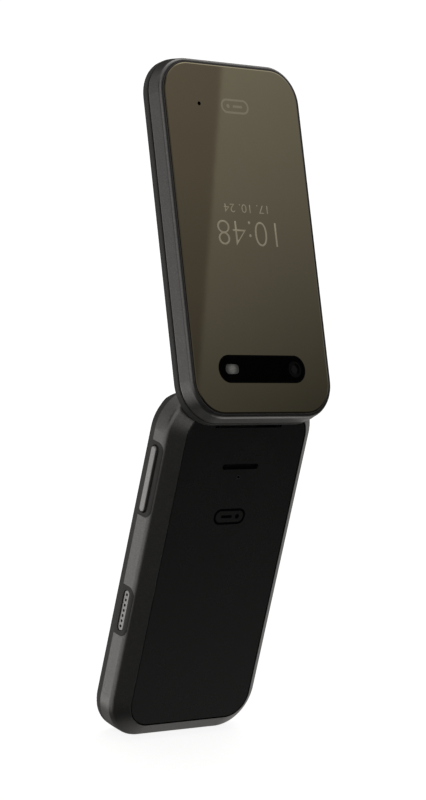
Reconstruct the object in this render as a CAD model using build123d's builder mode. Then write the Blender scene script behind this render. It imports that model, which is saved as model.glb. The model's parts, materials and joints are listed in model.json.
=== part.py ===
"""Clamshell mobile phone, upright on the lower end of its base with the lid open.

Frame: +Z runs up the base towards the hinge, +Y is the phone's back, -Y its keypad side,
and +X is the side with the volume rocker. The origin is the middle of the open phone's
footprint box, at floor level. All sizes are in millimetres.
"""

from build123d import *
import math
import os

os.makedirs("parts", exist_ok=True)

# ---- overall sizes ----
width = 55.1
base_length = 107.9
base_thick = 10.75
lid_length = 108.0
lid_thick = 7.0
opening_angle = 152.0
closed_gap = 0.33
base_corner = 12.7
lid_corner = 12.0

# ---- hinge ----
hinge_from_back = 6.07
hinge_from_top = 5.6
lid_end_overhang = 6.1
ear_clearance = 0.3
notch_width = 25.0
pin_radius = 1.5
running_clearance = 0.05
knuckle_wall = 2.4
knuckle_web = 5.85
knuckle_clearance = 0.35
cartridge_wall = 0.9
cartridge_length = 6.7
ear_core_wall = 0.95
ear_end_wall = 0.3
ear_foot = 5.0
pin_seat_wall = 0.8
pin_inner_end = 2.7
shaft_start = 2.0
shaft_end_gap = 0.4
pin_chamfer = 0.3

# ---- base shells ----
front_strip = 2.15
face_thick = 1.2
front_edge_round = 0.3
shell_wall = 1.6
crease_height = 7.1
side_draft = 0.25
bevel_inset = 4.85
crease_round = 2.0
panel_inset = 5.1
panel_thick = 0.9
panel_gap = 0.2
panel_chamfer = 0.25
deck_thick = 0.82
fit_gap = 0.1
rim_thick = 0.8
rim_height = 2.3
rim_notch = 1.0
cavity_top_wall = 1.2
crease_wall = 0.2
bevel_wall = 0.45
overcut = 1.0

# ---- keys ----
key_proud = 0.15
key_travel = 0.4
key_gap = 0.15
key_lip = 0.25
key_flange = 0.4
key_flange_gap = 0.05
key_rim_gap = 0.3
key_edge = 0.25
plunger_radius = 1.6
plunger_length = 0.65
number_key_width = 14.6
number_key_height = 10.4
number_key_corner = 2.0
number_pitch_x = 15.4
number_pitch_z = 11.2
number_first_z = 11.5
side_key_width = 11.0
side_key_height = 13.4
side_key_corner = 3.0
side_key_low_z = 62.0
side_key_pitch = 15.0
nav_size = 24.0
nav_corner = 8.0
nav_hole_radius = 5.35
ok_radius = 5.0
nav_z = 69.5
dome_height = 0.2
dome_radius = 2.4
dome_gap = 0.05
dome_sheet_thick = 0.2
dome_taper = 50.0
sheet_margin = 0.8
sheet_end_margin = 1.5
sheet_corner = 3.0
nav_plunger_inset = 2.6
board_thick = 0.9
board_gap = 0.2
cutout_gap = 0.4

# ---- side features on the +X flank ----
rocker_length = 20.0
rocker_width = 2.3
rocker_proud = 0.6
rocker_from_top = 27.4
rocker_depth = 6.75
rocker_gap = 0.4
rocker_flange = 0.6
rocker_flange_lip = 0.7
rocker_behind_wall = 0.25
rocker_room = 3.0
rocker_edge = 0.35
rocker_pivot_radius = 0.2
tab_height = 7.15
tab_round = 2.2
tab_margin = 1.3
grille_length = 12.5
grille_width = 2.45
grille_from_top = 68.1
grille_depth = 6.45
grille_thick = 1.1
grille_recess = 0.1
grille_seat = 0.02
grille_ledge_x = 1.0
grille_ledge_z = 1.6
grille_edge = 0.2
grille_holes = 7
grille_hole_radius = 0.45
grille_pitch = 1.63

# ---- back and ends ----
speaker_slot_width = 13.6
speaker_slot_height = 1.65
speaker_from_top = 21.86
mic_hole_radius = 0.45
mic_from_top = 25.07
usb_width = 8.94
usb_height = 3.2
usb_length = 7.3
usb_wall = 0.3
usb_from_axis = 0.3
usb_recess = 0.4
usb_back_wall = 1.0
usb_tongue_width = 6.6
usb_tongue_thick = 0.7
usb_tongue_recess = 1.2
jack_radius = 1.75
jack_mouth_gap = 0.35
jack_body = 5.0
jack_depth = 4.2
jack_corner = 0.6
jack_from_top = 16.6
jack_length = 12.4
jack_wall_gap = 0.2
jack_back_wall = 1.0
opening_margin = 0.3
mic_hole_margin = 0.2

# ---- parts inside the base ----
battery_width = 36.0
battery_length = 52.0
battery_thick = 4.7
battery_low_z = 9.0
battery_corner = 2.0
battery_edge = 0.6
battery_gap = 0.15
contacts_x = -9.0
contacts_width = 9.0
contacts_length = 2.6
contacts_height = 3.0
contacts_gap = 0.4
contact_pads = 3
contact_pitch = 3.0
contact_width = 1.2
contact_reach = 0.5
contact_height = 1.8
contact_lift = 0.6
boss_radius = 1.7
boss_gap = 0.3
boss_blind_end = 1.0
screw_radius = 0.6
screw_gap = 0.1
screw_head_radius = 1.2
screw_head = 0.45
screw_head_sink = 0.05
screw_length = 5.0
screw_slot_long = 1.4
screw_slot_wide = 0.3
screw_slot_deep = 0.25
can_x = -13.0
can_width = 16.0
can_length = 12.0
can_height = 1.6
can_corner = 0.8
can_from_battery = 5.5
switch_width = 1.6
switch_length = 3.4
switch_height = 1.2
switch_spread = 12.0
switch_inset = 1.4
speaker_width = 15.0
speaker_length = 9.0
card_x = 10.5
card_from_axis = 32.6
card_width = 15.0
card_length = 13.0
card_height = 1.5
microphone_x = 9.2
microphone_from_end = 5.2
microphone_width = 3.6
microphone_length = 2.8
microphone_height = 1.0
motor_x = -16.5
motor_from_top = 20.5
motor_radius = 4.0
motor_height = 2.7
module_edge = 0.25
upper_boss_x = 9.5
upper_boss_from_top = 14.8
lower_boss_x = 20.4
lower_boss_z = 52.8

# ---- lid ----
bezel_thick = 2.13
bezel_edge_round = 0.3
frame_draft = 1.1
frame_round = 1.2
frame_lower_round = 0.7
frame_wall = 3.4
glass_inset = 2.43
glass_gap = 0.12
glass_proud = 0.3
glass_thick = 1.2
glass_chamfer = 0.3
glass_chamfer_height = 0.14
window_width = 32.9
window_height = 8.2
window_from_end = 15.25
window_gap = 0.08
window_recess = 0.1
flash_width = 5.0
flash_height = 3.0
flash_x = 11.2
lens_x = -12.5
lens_radius = 2.0
lens_ring = 0.45
sensor_x = 12.85
sensor_from_end = 93.45
sensor_radius = 0.6
display_width = 44.0
display_length = 60.0
display_middle = 52.0
inner_glass_margin = 2.0
inner_glass_thick = 0.8
inner_glass_recess = 0.1
lcd_thick = 1.75
chassis_thick = 0.6
chassis_window_width = 8.0
chassis_window_length = 12.0
chassis_window_corner = 2.0
chassis_window_pitch_x = 14.0
chassis_window_pitch_v = 20.0
glass_seat_corner = 2.0
bezel_window_margin = 1.1
display_rim = 0.8
outer_display_width = 36.0
outer_display_length = 30.0
outer_display_thick = 1.6
outer_display_from_end = 57.5
camera_size = 7.0
camera_thick = 2.2
camera_step = 0.6
camera_rise = 0.6
camera_snout_gap = 0.05
camera_eye_radius = 0.9
camera_eye_depth = 0.3
flash_corner = 1.2
flash_gap = 0.05
flash_stem = 0.6
lens_lip = 0.3
lens_gap = 0.03
trim_proud = 0.05
flash_sink = 0.1
earpiece_width = 10.0
earpiece_height = 1.5
earpiece_from_free_end = 8.0
earpiece_recess = 0.15
earpiece_thick = 0.6
earpiece_holes = 7
earpiece_pitch = 1.2
earpiece_hole_radius = 0.35
receiver_width = 13.0
receiver_height = 6.0
receiver_thick = 1.7
receiver_corner = 1.2
receiver_shift = 0.6
receiver_gap = 0.05
bumper_width = 5.0
bumper_height = 1.8
bumper_proud = 0.25
bumper_depth = 0.5
bumper_corner = 0.6
bumper_gap = 0.05
bumper_from_side = 10.0
bumper_from_free_end = 3.2
lid_screw_x = 19.5
lid_screw_from_end = 9.5
lid_screw_length = 2.4
screw_cap_radius = 1.9
screw_cap_depth = 0.5
screw_cap_sink = 0.03

# ---- derived sizes and places ----
knuckle_radius = pin_radius + knuckle_wall
notch_below_axis = knuckle_radius + knuckle_clearance
knuckle_half = notch_width / 2 - ear_clearance
cartridge_radius = pin_radius + running_clearance + cartridge_wall
ear_core_radius = cartridge_radius + ear_core_wall
ear_core_reach = notch_width / 2 + cartridge_length + ear_end_wall
rim_inset = shell_wall + fit_gap + rim_thick
board_inset = rim_inset + board_gap
side_key_x = width / 2 - rim_inset - key_rim_gap - key_lip - side_key_width / 2
lean = math.radians(180.0 - opening_angle)
base_front = hinge_from_back - base_thick
split = base_front + front_strip
crease = base_front + crease_height
back_face = hinge_from_back
panel_floor = back_face - panel_thick
deck_floor = panel_floor - deck_thick
bull_radius = -base_front
base_top = hinge_from_top
base_bottom = hinge_from_top - base_length
base_middle = (base_top + base_bottom) / 2
cavity_top = -notch_below_axis - cavity_top_wall
lid_inner = bull_radius + closed_gap
lid_outer = lid_inner + lid_thick
lid_split = lid_inner + bezel_thick
lid_low = -lid_end_overhang
lid_middle = lid_low + lid_length / 2
hinge_z = base_length - hinge_from_top
hinge_y = (
    (lid_length - lid_end_overhang) * math.sin(lean)
    - lid_inner * math.cos(lean)
    - lid_outer * math.cos(lean)
    - lid_end_overhang * math.sin(lean)
) / 2
side_x = width / 2
face_inner = base_front + face_thick
flange_face = face_inner + key_flange_gap
plunger_face = flange_face + key_flange
sheet_face = plunger_face + plunger_length + key_travel + dome_gap + dome_height
board_face = sheet_face + dome_sheet_thick
board_back = board_face + board_thick
rocker_z = base_length - rocker_from_top
rocker_y = hinge_y + hinge_from_back - rocker_depth
grille_z = base_length - grille_from_top
grille_y = hinge_y + hinge_from_back - grille_depth


def base_plane(depth):
    """Plane across the base, facing the back; depth is measured from the hinge axis."""
    origin = (0, hinge_y + depth, hinge_z)
    return Plane(origin=origin, x_dir=(-1, 0, 0), z_dir=(0, 1, 0))


def lid_plane(height):
    """Plane across the open lid, facing its outer side, with local Y towards the free end."""
    normal = (0, math.cos(lean), math.sin(lean))
    origin = (0, hinge_y + height * normal[1], hinge_z + height * normal[2])
    return Plane(origin=origin, x_dir=(-1, 0, 0), z_dir=normal)


def flank_plane(x):
    """Plane facing +X, with local X along +Y and local Y along +Z."""
    return Plane(origin=(x, 0, 0), x_dir=(0, 1, 0), z_dir=(1, 0, 0))


def axis_plane(x):
    """Plane facing +X whose centre is on the hinge axis."""
    return Plane(origin=(x, hinge_y, hinge_z), x_dir=(0, 1, 0), z_dir=(1, 0, 0))


def base_outline(inset):
    """The base's rounded outline, drawn in from its edge by inset."""
    with Locations((0, base_middle)):
        RectangleRounded(width - 2 * inset, base_length - 2 * inset, base_corner - inset)


def cavity_outline(inset):
    """The base's outline drawn in by inset and cut off below the hinge notch."""
    base_outline(inset)
    with Locations((0, cavity_top + base_length)):
        Rectangle(2 * width, 2 * base_length, mode=Mode.SUBTRACT)


def lid_outline(inset):
    """The lid's rounded outline, drawn in from its edge by inset."""
    with Locations((0, lid_middle)):
        RectangleRounded(width - 2 * inset, lid_length - 2 * inset, lid_corner - inset)


def finish(piece, name):
    """Name a finished piece and write it."""
    piece.part.label = name
    export_step(piece.part, f"parts/{name}.step")


# ---- shared cutting shapes of the base's hinge end ----

with BuildPart() as end_trim:
    with BuildSketch(axis_plane(0)):
        with BuildLine():
            front_point = (-bull_radius, 0)
            top_angle = (math.pi + lean) / 2
            top_point = (bull_radius * math.cos(top_angle), bull_radius * math.sin(top_angle))
            slope_point = (bull_radius * math.cos(lean), bull_radius * math.sin(lean))
            slope_run = 3 * hinge_from_back
            slope_end = (
                slope_point[0] + slope_run * math.sin(lean),
                slope_point[1] - slope_run * math.cos(lean),
            )
            ThreePointArc(front_point, top_point, slope_point)
            Polyline(
                slope_point,
                slope_end,
                (base_length, slope_end[1]),
                (base_length, base_length),
                (-base_length, base_length),
                (-base_length, 0),
                front_point,
            )
        make_face()
    extrude(amount=width, both=True)

with BuildPart() as notch:
    with BuildSketch(base_plane(base_front - overcut)):
        with Locations((0, base_length / 2 - notch_below_axis)):
            Rectangle(notch_width, base_length)
    extrude(amount=base_thick + 2 * overcut)

# ---- outer form of the rear shell: drafted flank, soft crease, bevel to the back ----

with BuildPart() as rear_form:
    with BuildSketch(base_plane(split)):
        base_outline(0)
    flank_height = crease - split
    extrude(amount=flank_height, taper=math.degrees(math.atan(side_draft / flank_height)))
    with BuildSketch(base_plane(crease)):
        base_outline(side_draft)
    bevel_height = back_face - crease
    bevel_run = bevel_inset - side_draft
    extrude(amount=bevel_height, taper=math.degrees(math.atan(bevel_run / bevel_height)))
    crease_edges = rear_form.edges().filter_by_position(
        Axis.Y, hinge_y + crease - 0.01, hinge_y + crease + 0.01
    )
    fillet(crease_edges, radius=crease_round)


def tab_outline(centre_y, centre_z, length, gap):
    """Side tab of the front housing, seen from +X, with room for gap around it."""
    tab_low = hinge_y + split - 2 * tab_round
    tab_high = hinge_y + base_front + tab_height
    with Locations(((tab_low + tab_high) / 2, centre_z)):
        RectangleRounded(
            tab_high - tab_low + 2 * gap, length + 2 * tab_margin + 2 * gap, tab_round + gap
        )


with BuildPart() as side_tabs:
    add(rear_form.part)
    with BuildSketch(flank_plane(side_x - shell_wall)):
        tab_outline(rocker_y, rocker_z, rocker_length, 0)
        tab_outline(grille_y, grille_z, grille_length, 0)
    extrude(amount=2 * shell_wall, mode=Mode.INTERSECT)

# ---- key table: name, x, height above the floor, width, height, corner ----

number_rows = [
    ["key_star", "key_0", "key_hash"],
    ["key_7", "key_8", "key_9"],
    ["key_4", "key_5", "key_6"],
    ["key_1", "key_2", "key_3"],
]
side_rows = [["key_call", "key_end"], ["key_soft_left", "key_soft_right"]]
key_table = []
for row, names in enumerate(number_rows):
    key_z = number_first_z + row * number_pitch_z
    for column, name in enumerate(names):
        key_x = number_pitch_x * (column - 1)
        key_table.append(
            (name, key_x, key_z, number_key_width, number_key_height, number_key_corner)
        )
for row, names in enumerate(side_rows):
    key_z = side_key_low_z + row * side_key_pitch
    for key_x, name in zip((-side_key_x, side_key_x), names):
        key_table.append(
            (name, key_x, key_z, side_key_width, side_key_height, side_key_corner)
        )


def key_place(x, z):
    """Place on a base plane of a key at world x and height z."""
    return (-x, z - hinge_z)


# ---- base: front housing with key windows, side tabs and hinge ear cores ----

boss_places = []
for side in (-1, 1):
    boss_places.append((side * upper_boss_x, base_top - upper_boss_from_top))
    boss_places.append((side * lower_boss_x, base_bottom + lower_boss_z))

with BuildPart() as front_housing:
    with BuildSketch(base_plane(base_front)):
        base_outline(0)
    extrude(amount=front_strip)
    front_edges = front_housing.faces().sort_by(Axis.Y)[0].edges()
    fillet(front_edges, radius=front_edge_round)
    with BuildSketch(base_plane(face_inner)):
        cavity_outline(rim_inset)
    extrude(amount=base_thick, mode=Mode.SUBTRACT)
    with BuildSketch(base_plane(face_inner)):
        cavity_outline(shell_wall + fit_gap)
        with Locations((0, base_middle)):
            RectangleRounded(
                width - 2 * rim_inset,
                base_length - 2 * rim_inset,
                base_corner - rim_inset,
                mode=Mode.SUBTRACT,
            )
    extrude(amount=rim_height)
    with BuildSketch(base_plane(face_inner)):
        with Locations(*boss_places):
            Circle(boss_radius)
    extrude(amount=deck_floor - face_inner)
    add(side_tabs.part)
    # hinge ear cores, round about the axis with a foot down to the face
    with BuildSketch(axis_plane(-ear_core_reach)):
        Circle(ear_core_radius)
        with Locations((0, -ear_foot / 2)):
            Rectangle(2 * ear_core_radius, ear_foot)
    extrude(amount=2 * ear_core_reach)
    add(notch.part, mode=Mode.SUBTRACT)
    # bore for the plain pin on the -X side, and the cartridge seat on the +X side
    with BuildSketch(axis_plane(-notch_width)):
        Circle(pin_radius)
    extrude(amount=notch_width, mode=Mode.SUBTRACT)
    with BuildSketch(axis_plane(0)):
        Circle(cartridge_radius)
    extrude(amount=notch_width / 2 + cartridge_length, mode=Mode.SUBTRACT)
    # windows for the keys
    with BuildSketch(base_plane(base_front - overcut)):
        for name, x, z, key_width, key_height, corner in key_table:
            with Locations(key_place(x, z)):
                RectangleRounded(
                    key_width + 2 * key_gap, key_height + 2 * key_gap, corner + key_gap
                )
        with Locations(key_place(0, nav_z)):
            RectangleRounded(
                nav_size + 2 * key_gap, nav_size + 2 * key_gap, nav_corner + key_gap
            )
    extrude(amount=face_thick + 2 * overcut, mode=Mode.SUBTRACT)
    # screw bores in the bosses
    with BuildSketch(base_plane(deck_floor)):
        with Locations(*boss_places):
            Circle(screw_radius)
    extrude(amount=-(deck_floor - face_inner - boss_blind_end), mode=Mode.SUBTRACT)
    # openings in the flank for the rocker and behind the grille
    with BuildSketch(flank_plane(side_x + overcut)):
        with Locations((rocker_y, rocker_z)):
            SlotOverall(rocker_length + 2 * rocker_gap, rocker_width + 2 * rocker_gap, rotation=90)
    extrude(amount=-shell_wall - 1.5 * overcut, mode=Mode.SUBTRACT)
    with BuildSketch(flank_plane(side_x - shell_wall - fit_gap)):
        with Locations((rocker_y, rocker_z)):
            SlotOverall(rocker_length + rocker_room, rocker_width + rocker_room, rotation=90)
    extrude(amount=-2 * rim_thick, mode=Mode.SUBTRACT)
    with BuildSketch(flank_plane(side_x + overcut)):
        with Locations((grille_y, grille_z)):
            SlotOverall(grille_length + 2 * fit_gap, grille_width + 2 * fit_gap, rotation=90)
    extrude(amount=-overcut - grille_recess - side_draft - grille_thick, mode=Mode.SUBTRACT)
    with BuildSketch(flank_plane(side_x + overcut)):
        with Locations((grille_y, grille_z)):
            SlotOverall(
                grille_length - grille_ledge_z, grille_width - grille_ledge_x, rotation=90
            )
    extrude(amount=-shell_wall - 3 * overcut, mode=Mode.SUBTRACT)
    # room for the charging socket and the audio jack in the rim
    with BuildSketch(base_plane(split)):
        with Locations((0, base_bottom)):
            Rectangle(usb_width + rim_notch, 4 * shell_wall)
        with Locations((side_x, base_top - jack_from_top)):
            Rectangle(6 * shell_wall, jack_body + rim_notch)
    extrude(amount=rim_height, mode=Mode.SUBTRACT)
    add(end_trim.part, mode=Mode.SUBTRACT)
finish(front_housing, "front_housing")

# ---- base: rear shell ----

with BuildPart() as rear_shell:
    add(rear_form.part)
    with BuildSketch(base_plane(split)):
        cavity_outline(shell_wall)
    extrude(amount=crease - split - crease_wall, mode=Mode.SUBTRACT)
    with BuildSketch(base_plane(crease - overcut)):
        cavity_outline(bevel_inset - bevel_wall)
    extrude(amount=deck_floor - crease + overcut, mode=Mode.SUBTRACT)
    with BuildSketch(base_plane(panel_floor)):
        base_outline(panel_inset - panel_gap)
    extrude(amount=panel_thick + overcut, mode=Mode.SUBTRACT)
    # room for the hinge ear cores
    with BuildSketch(axis_plane(-ear_core_reach - fit_gap)):
        Circle(ear_core_radius + fit_gap)
        with Locations((0, -ear_foot / 2 - fit_gap)):
            Rectangle(2 * (ear_core_radius + fit_gap), ear_foot + 2 * fit_gap)
    extrude(amount=2 * (ear_core_reach + fit_gap), mode=Mode.SUBTRACT)
    add(notch.part, mode=Mode.SUBTRACT)
    # openings round the side tabs of the front housing
    with BuildSketch(flank_plane(side_x - shell_wall - overcut)):
        tab_outline(rocker_y, rocker_z, rocker_length, fit_gap)
        tab_outline(grille_y, grille_z, grille_length, fit_gap)
    extrude(amount=2 * shell_wall + overcut, mode=Mode.SUBTRACT)
    # speaker and microphone openings in the deck
    with BuildSketch(base_plane(deck_floor - overcut / 2)):
        with Locations((0, base_top - speaker_from_top)):
            SlotOverall(
                speaker_slot_width + 2 * opening_margin, speaker_slot_height + 2 * opening_margin
            )
        with Locations((0, base_top - mic_from_top)):
            Circle(mic_hole_radius + mic_hole_margin)
    extrude(amount=deck_thick + overcut, mode=Mode.SUBTRACT)
    # screw holes in the deck, with seats for the heads
    with BuildSketch(base_plane(deck_floor - overcut / 2)):
        with Locations(*boss_places):
            Circle(screw_radius + screw_gap)
    extrude(amount=deck_thick + overcut, mode=Mode.SUBTRACT)
    with BuildSketch(base_plane(panel_floor - screw_head)):
        with Locations(*boss_places):
            Circle(screw_head_radius + screw_gap)
    extrude(amount=screw_head + overcut, mode=Mode.SUBTRACT)
    # charging socket mouth in the bottom end, and audio jack mouth in the -X flank
    with BuildSketch(Plane.XY.offset(-overcut)):
        with Locations((0, hinge_y - usb_from_axis)):
            SlotOverall(usb_width + 2 * fit_gap, usb_height + 2 * fit_gap)
    extrude(amount=shell_wall + 3 * overcut, mode=Mode.SUBTRACT)
    with BuildSketch(flank_plane(-side_x - overcut)):
        with Locations((hinge_y, base_length - jack_from_top)):
            Circle(jack_radius + jack_mouth_gap)
    extrude(amount=shell_wall + 3 * overcut, mode=Mode.SUBTRACT)
    add(end_trim.part, mode=Mode.SUBTRACT)
finish(rear_shell, "rear_shell")

# ---- base: gloss panel let into the back ----

with BuildPart() as back_panel:
    with BuildSketch(base_plane(panel_floor)):
        base_outline(panel_inset)
        with Locations((0, base_top - speaker_from_top)):
            SlotOverall(speaker_slot_width, speaker_slot_height, mode=Mode.SUBTRACT)
        with Locations((0, base_top - mic_from_top)):
            Circle(mic_hole_radius, mode=Mode.SUBTRACT)
    extrude(amount=panel_thick)
    panel_edges = back_panel.faces().sort_by(Axis.Y)[-1].outer_wire().edges()
    chamfer(panel_edges, length=panel_chamfer)
    add(notch.part, mode=Mode.SUBTRACT)
    add(end_trim.part, mode=Mode.SUBTRACT)
finish(back_panel, "back_panel")

# ---- keys ----


def make_key(name, x, z, key_width, key_height, corner):
    """A key cap with a retaining lip behind the face and a plunger for its dome."""
    with BuildPart() as key:
        with BuildSketch(base_plane(base_front - key_proud)):
            with Locations(key_place(x, z)):
                RectangleRounded(key_width, key_height, corner)
        extrude(amount=key_proud + face_thick + key_flange_gap)
        fillet(key.faces().sort_by(Axis.Y)[0].edges(), radius=key_edge)
        with BuildSketch(base_plane(flange_face)):
            with Locations(key_place(x, z)):
                RectangleRounded(
                    key_width + 2 * key_lip, key_height + 2 * key_lip, corner + key_lip
                )
        extrude(amount=key_flange)
        with BuildSketch(base_plane(plunger_face)):
            with Locations(key_place(x, z)):
                Circle(plunger_radius)
        extrude(amount=plunger_length)
    finish(key, name)


for key_row in key_table:
    make_key(*key_row)

nav_plunger_reach = nav_size / 2 - nav_plunger_inset
with BuildPart() as nav_ring:
    with BuildSketch(base_plane(base_front - key_proud)):
        with Locations(key_place(0, nav_z)):
            RectangleRounded(nav_size, nav_size, nav_corner)
    extrude(amount=key_proud + face_thick + key_flange_gap)
    fillet(nav_ring.faces().sort_by(Axis.Y)[0].edges(), radius=key_edge)
    with BuildSketch(base_plane(flange_face)):
        with Locations(key_place(0, nav_z)):
            RectangleRounded(nav_size + 2 * key_lip, nav_size + 2 * key_lip, nav_corner + key_lip)
    extrude(amount=key_flange)
    with BuildSketch(base_plane(plunger_face)):
        with Locations(key_place(0, nav_z)):
            with PolarLocations(nav_plunger_reach, 4):
                Circle(plunger_radius)
    extrude(amount=plunger_length)
    with BuildSketch(base_plane(base_front - overcut)):
        with Locations(key_place(0, nav_z)):
            Circle(nav_hole_radius)
    extrude(amount=base_thick / 2, mode=Mode.SUBTRACT)
finish(nav_ring, "nav_ring")

with BuildPart() as key_ok:
    with BuildSketch(base_plane(base_front - key_proud)):
        with Locations(key_place(0, nav_z)):
            Circle(ok_radius)
    extrude(amount=plunger_face - base_front + key_proud)
    fillet(key_ok.faces().sort_by(Axis.Y)[0].edges(), radius=key_edge)
    with BuildSketch(base_plane(plunger_face)):
        with Locations(key_place(0, nav_z)):
            Circle(plunger_radius)
    extrude(amount=plunger_length)
finish(key_ok, "key_ok")

# ---- keypad dome sheet and main board ----

dome_places = [key_place(x, z) for name, x, z, key_width, key_height, corner in key_table]
dome_places.append(key_place(0, nav_z))
for side in (-1, 1):
    dome_places.append(key_place(side * nav_plunger_reach, nav_z))
    dome_places.append(key_place(0, nav_z + side * nav_plunger_reach))
sheet_low = hinge_z - number_first_z + number_key_height / 2 - sheet_end_margin
sheet_high = hinge_z - side_key_low_z - side_key_pitch - side_key_height / 2

with BuildPart() as dome_sheet:
    with BuildSketch(base_plane(sheet_face)):
        with Locations((0, -(sheet_low + sheet_high) / 2)):
            RectangleRounded(
                width - 2 * (board_inset + sheet_margin), sheet_low - sheet_high, sheet_corner
            )
        with Locations(*boss_places):
            Circle(boss_radius + boss_gap, mode=Mode.SUBTRACT)
    extrude(amount=dome_sheet_thick)
    with BuildSketch(base_plane(sheet_face)):
        with Locations(*dome_places):
            Circle(dome_radius)
    extrude(amount=-dome_height, taper=dome_taper)
finish(dome_sheet, "dome_sheet")

jack_face_x = side_x - shell_wall - jack_wall_gap
jack_inner_x = jack_face_x - jack_length + shell_wall
can_low = battery_low_z + battery_length - hinge_z + can_from_battery

with BuildPart() as main_board:
    with BuildSketch(base_plane(board_face)):
        cavity_outline(board_inset)
        with Locations(*boss_places):
            Circle(boss_radius + boss_gap, mode=Mode.SUBTRACT)
        with Locations((0, base_bottom)):
            Rectangle(
                usb_width + 2 * cutout_gap,
                2 * (usb_recess + usb_length + cutout_gap),
                mode=Mode.SUBTRACT,
            )
        with Locations((side_x, base_top - jack_from_top)):
            Rectangle(
                2 * (side_x - jack_inner_x + cutout_gap),
                jack_body + 2 * cutout_gap,
                mode=Mode.SUBTRACT,
            )
    extrude(amount=board_thick)
    # shielding can over the radio parts, and the two side switches behind the rocker
    with BuildSketch(base_plane(board_back)):
        with Locations((can_x, can_low + can_length / 2)):
            RectangleRounded(can_width, can_length, can_corner)
    extrude(amount=can_height)
    with BuildSketch(base_plane(board_back)):
        with Locations(key_place(side_x - board_inset - switch_inset, rocker_z)):
            with GridLocations(1, switch_spread, 1, 2):
                Rectangle(switch_width, switch_length)
    extrude(amount=switch_height)
finish(main_board, "main_board")

# ---- battery and its contact block ----

battery_low = battery_low_z - hinge_z
battery_top = battery_low + battery_length
battery_face = board_back + battery_gap
with BuildPart() as battery:
    with BuildSketch(base_plane(battery_face)):
        with Locations((0, battery_low + battery_length / 2)):
            RectangleRounded(battery_width, battery_length, battery_corner)
    extrude(amount=battery_thick)
    fillet(battery.faces().sort_by(Axis.Y)[-1].edges(), radius=battery_edge)
finish(battery, "battery")

with BuildPart() as battery_contacts:
    with BuildSketch(base_plane(board_back)):
        with Locations((contacts_x, battery_top + contacts_gap + contacts_length / 2)):
            Rectangle(contacts_width, contacts_length)
    extrude(amount=contacts_height)
    with BuildSketch(base_plane(board_back + contact_lift)):
        with Locations((contacts_x, battery_top + contacts_gap)):
            with GridLocations(contact_pitch, 1, contact_pads, 1):
                Rectangle(contact_width, contact_reach)
    extrude(amount=contact_height)
finish(battery_contacts, "battery_contacts")

# ---- small modules on the board ----


def board_block(name, x, v, block_width, block_length, height, corner):
    """A rounded block standing on the back of the main board."""
    with BuildPart() as block:
        with BuildSketch(base_plane(board_back)):
            with Locations((x, v)):
                RectangleRounded(block_width, block_length, corner)
        extrude(amount=height)
        fillet(block.faces().sort_by(Axis.Y)[-1].edges(), radius=module_edge)
    finish(block, name)


speaker_height = deck_floor - board_back
speaker_v = base_top - speaker_from_top
microphone_v = base_bottom + microphone_from_end
board_block("loudspeaker", 0, speaker_v, speaker_width, speaker_length, speaker_height, 1.5)
board_block("card_socket", card_x, -card_from_axis, card_width, card_length, card_height, 0.8)
board_block(
    "microphone",
    microphone_x,
    microphone_v,
    microphone_width,
    microphone_length,
    microphone_height,
    0.4,
)

with BuildPart() as vibration_motor:
    with BuildSketch(base_plane(board_back)):
        with Locations((motor_x, base_top - motor_from_top)):
            Circle(motor_radius)
    extrude(amount=motor_height)
    fillet(vibration_motor.faces().sort_by(Axis.Y)[-1].edges(), radius=module_edge)
finish(vibration_motor, "vibration_motor")

# ---- charging socket: an oval metal sleeve with a tongue ----

with BuildPart() as usb_socket:
    with BuildSketch(Plane.XY.offset(usb_recess)):
        with Locations((0, hinge_y - usb_from_axis)):
            SlotOverall(usb_width, usb_height)
    extrude(amount=usb_length)
    with BuildSketch(Plane.XY.offset(usb_recess)):
        with Locations((0, hinge_y - usb_from_axis)):
            SlotOverall(usb_width - 2 * usb_wall, usb_height - 2 * usb_wall)
    extrude(amount=usb_length - usb_back_wall, mode=Mode.SUBTRACT)
    with BuildSketch(Plane.XY.offset(usb_tongue_recess)):
        with Locations((0, hinge_y - usb_from_axis)):
            Rectangle(usb_tongue_width, usb_tongue_thick)
    extrude(amount=usb_length - usb_back_wall)
finish(usb_socket, "usb_socket")

# ---- audio jack: a block with a bore opening in the -X flank ----

with BuildPart() as audio_jack:
    with BuildSketch(flank_plane(-jack_face_x)):
        with Locations((hinge_y, base_length - jack_from_top)):
            RectangleRounded(jack_depth, jack_body, jack_corner)
    extrude(amount=jack_face_x - jack_inner_x)
    with BuildSketch(flank_plane(-jack_face_x)):
        with Locations((hinge_y, base_length - jack_from_top)):
            Circle(jack_radius)
    extrude(amount=jack_face_x - jack_inner_x - jack_back_wall, mode=Mode.SUBTRACT)
finish(audio_jack, "audio_jack")

# ---- screws that hold the base together ----

with BuildPart() as base_screws:
    with BuildSketch(base_plane(panel_floor - screw_head)):
        with Locations(*boss_places):
            Circle(screw_head_radius)
    extrude(amount=screw_head - screw_head_sink)
    with BuildSketch(base_plane(panel_floor - screw_head)):
        with Locations(*boss_places):
            Circle(screw_radius)
    extrude(amount=-screw_length)
    with BuildSketch(base_plane(panel_floor - screw_slot_deep)):
        with Locations(*boss_places):
            Rectangle(screw_slot_long, screw_slot_wide)
            Rectangle(screw_slot_wide, screw_slot_long)
    extrude(amount=2 * screw_slot_deep, mode=Mode.SUBTRACT)
finish(base_screws, "base_screws")

# ---- volume rocker, pivoting about its middle ----

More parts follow.
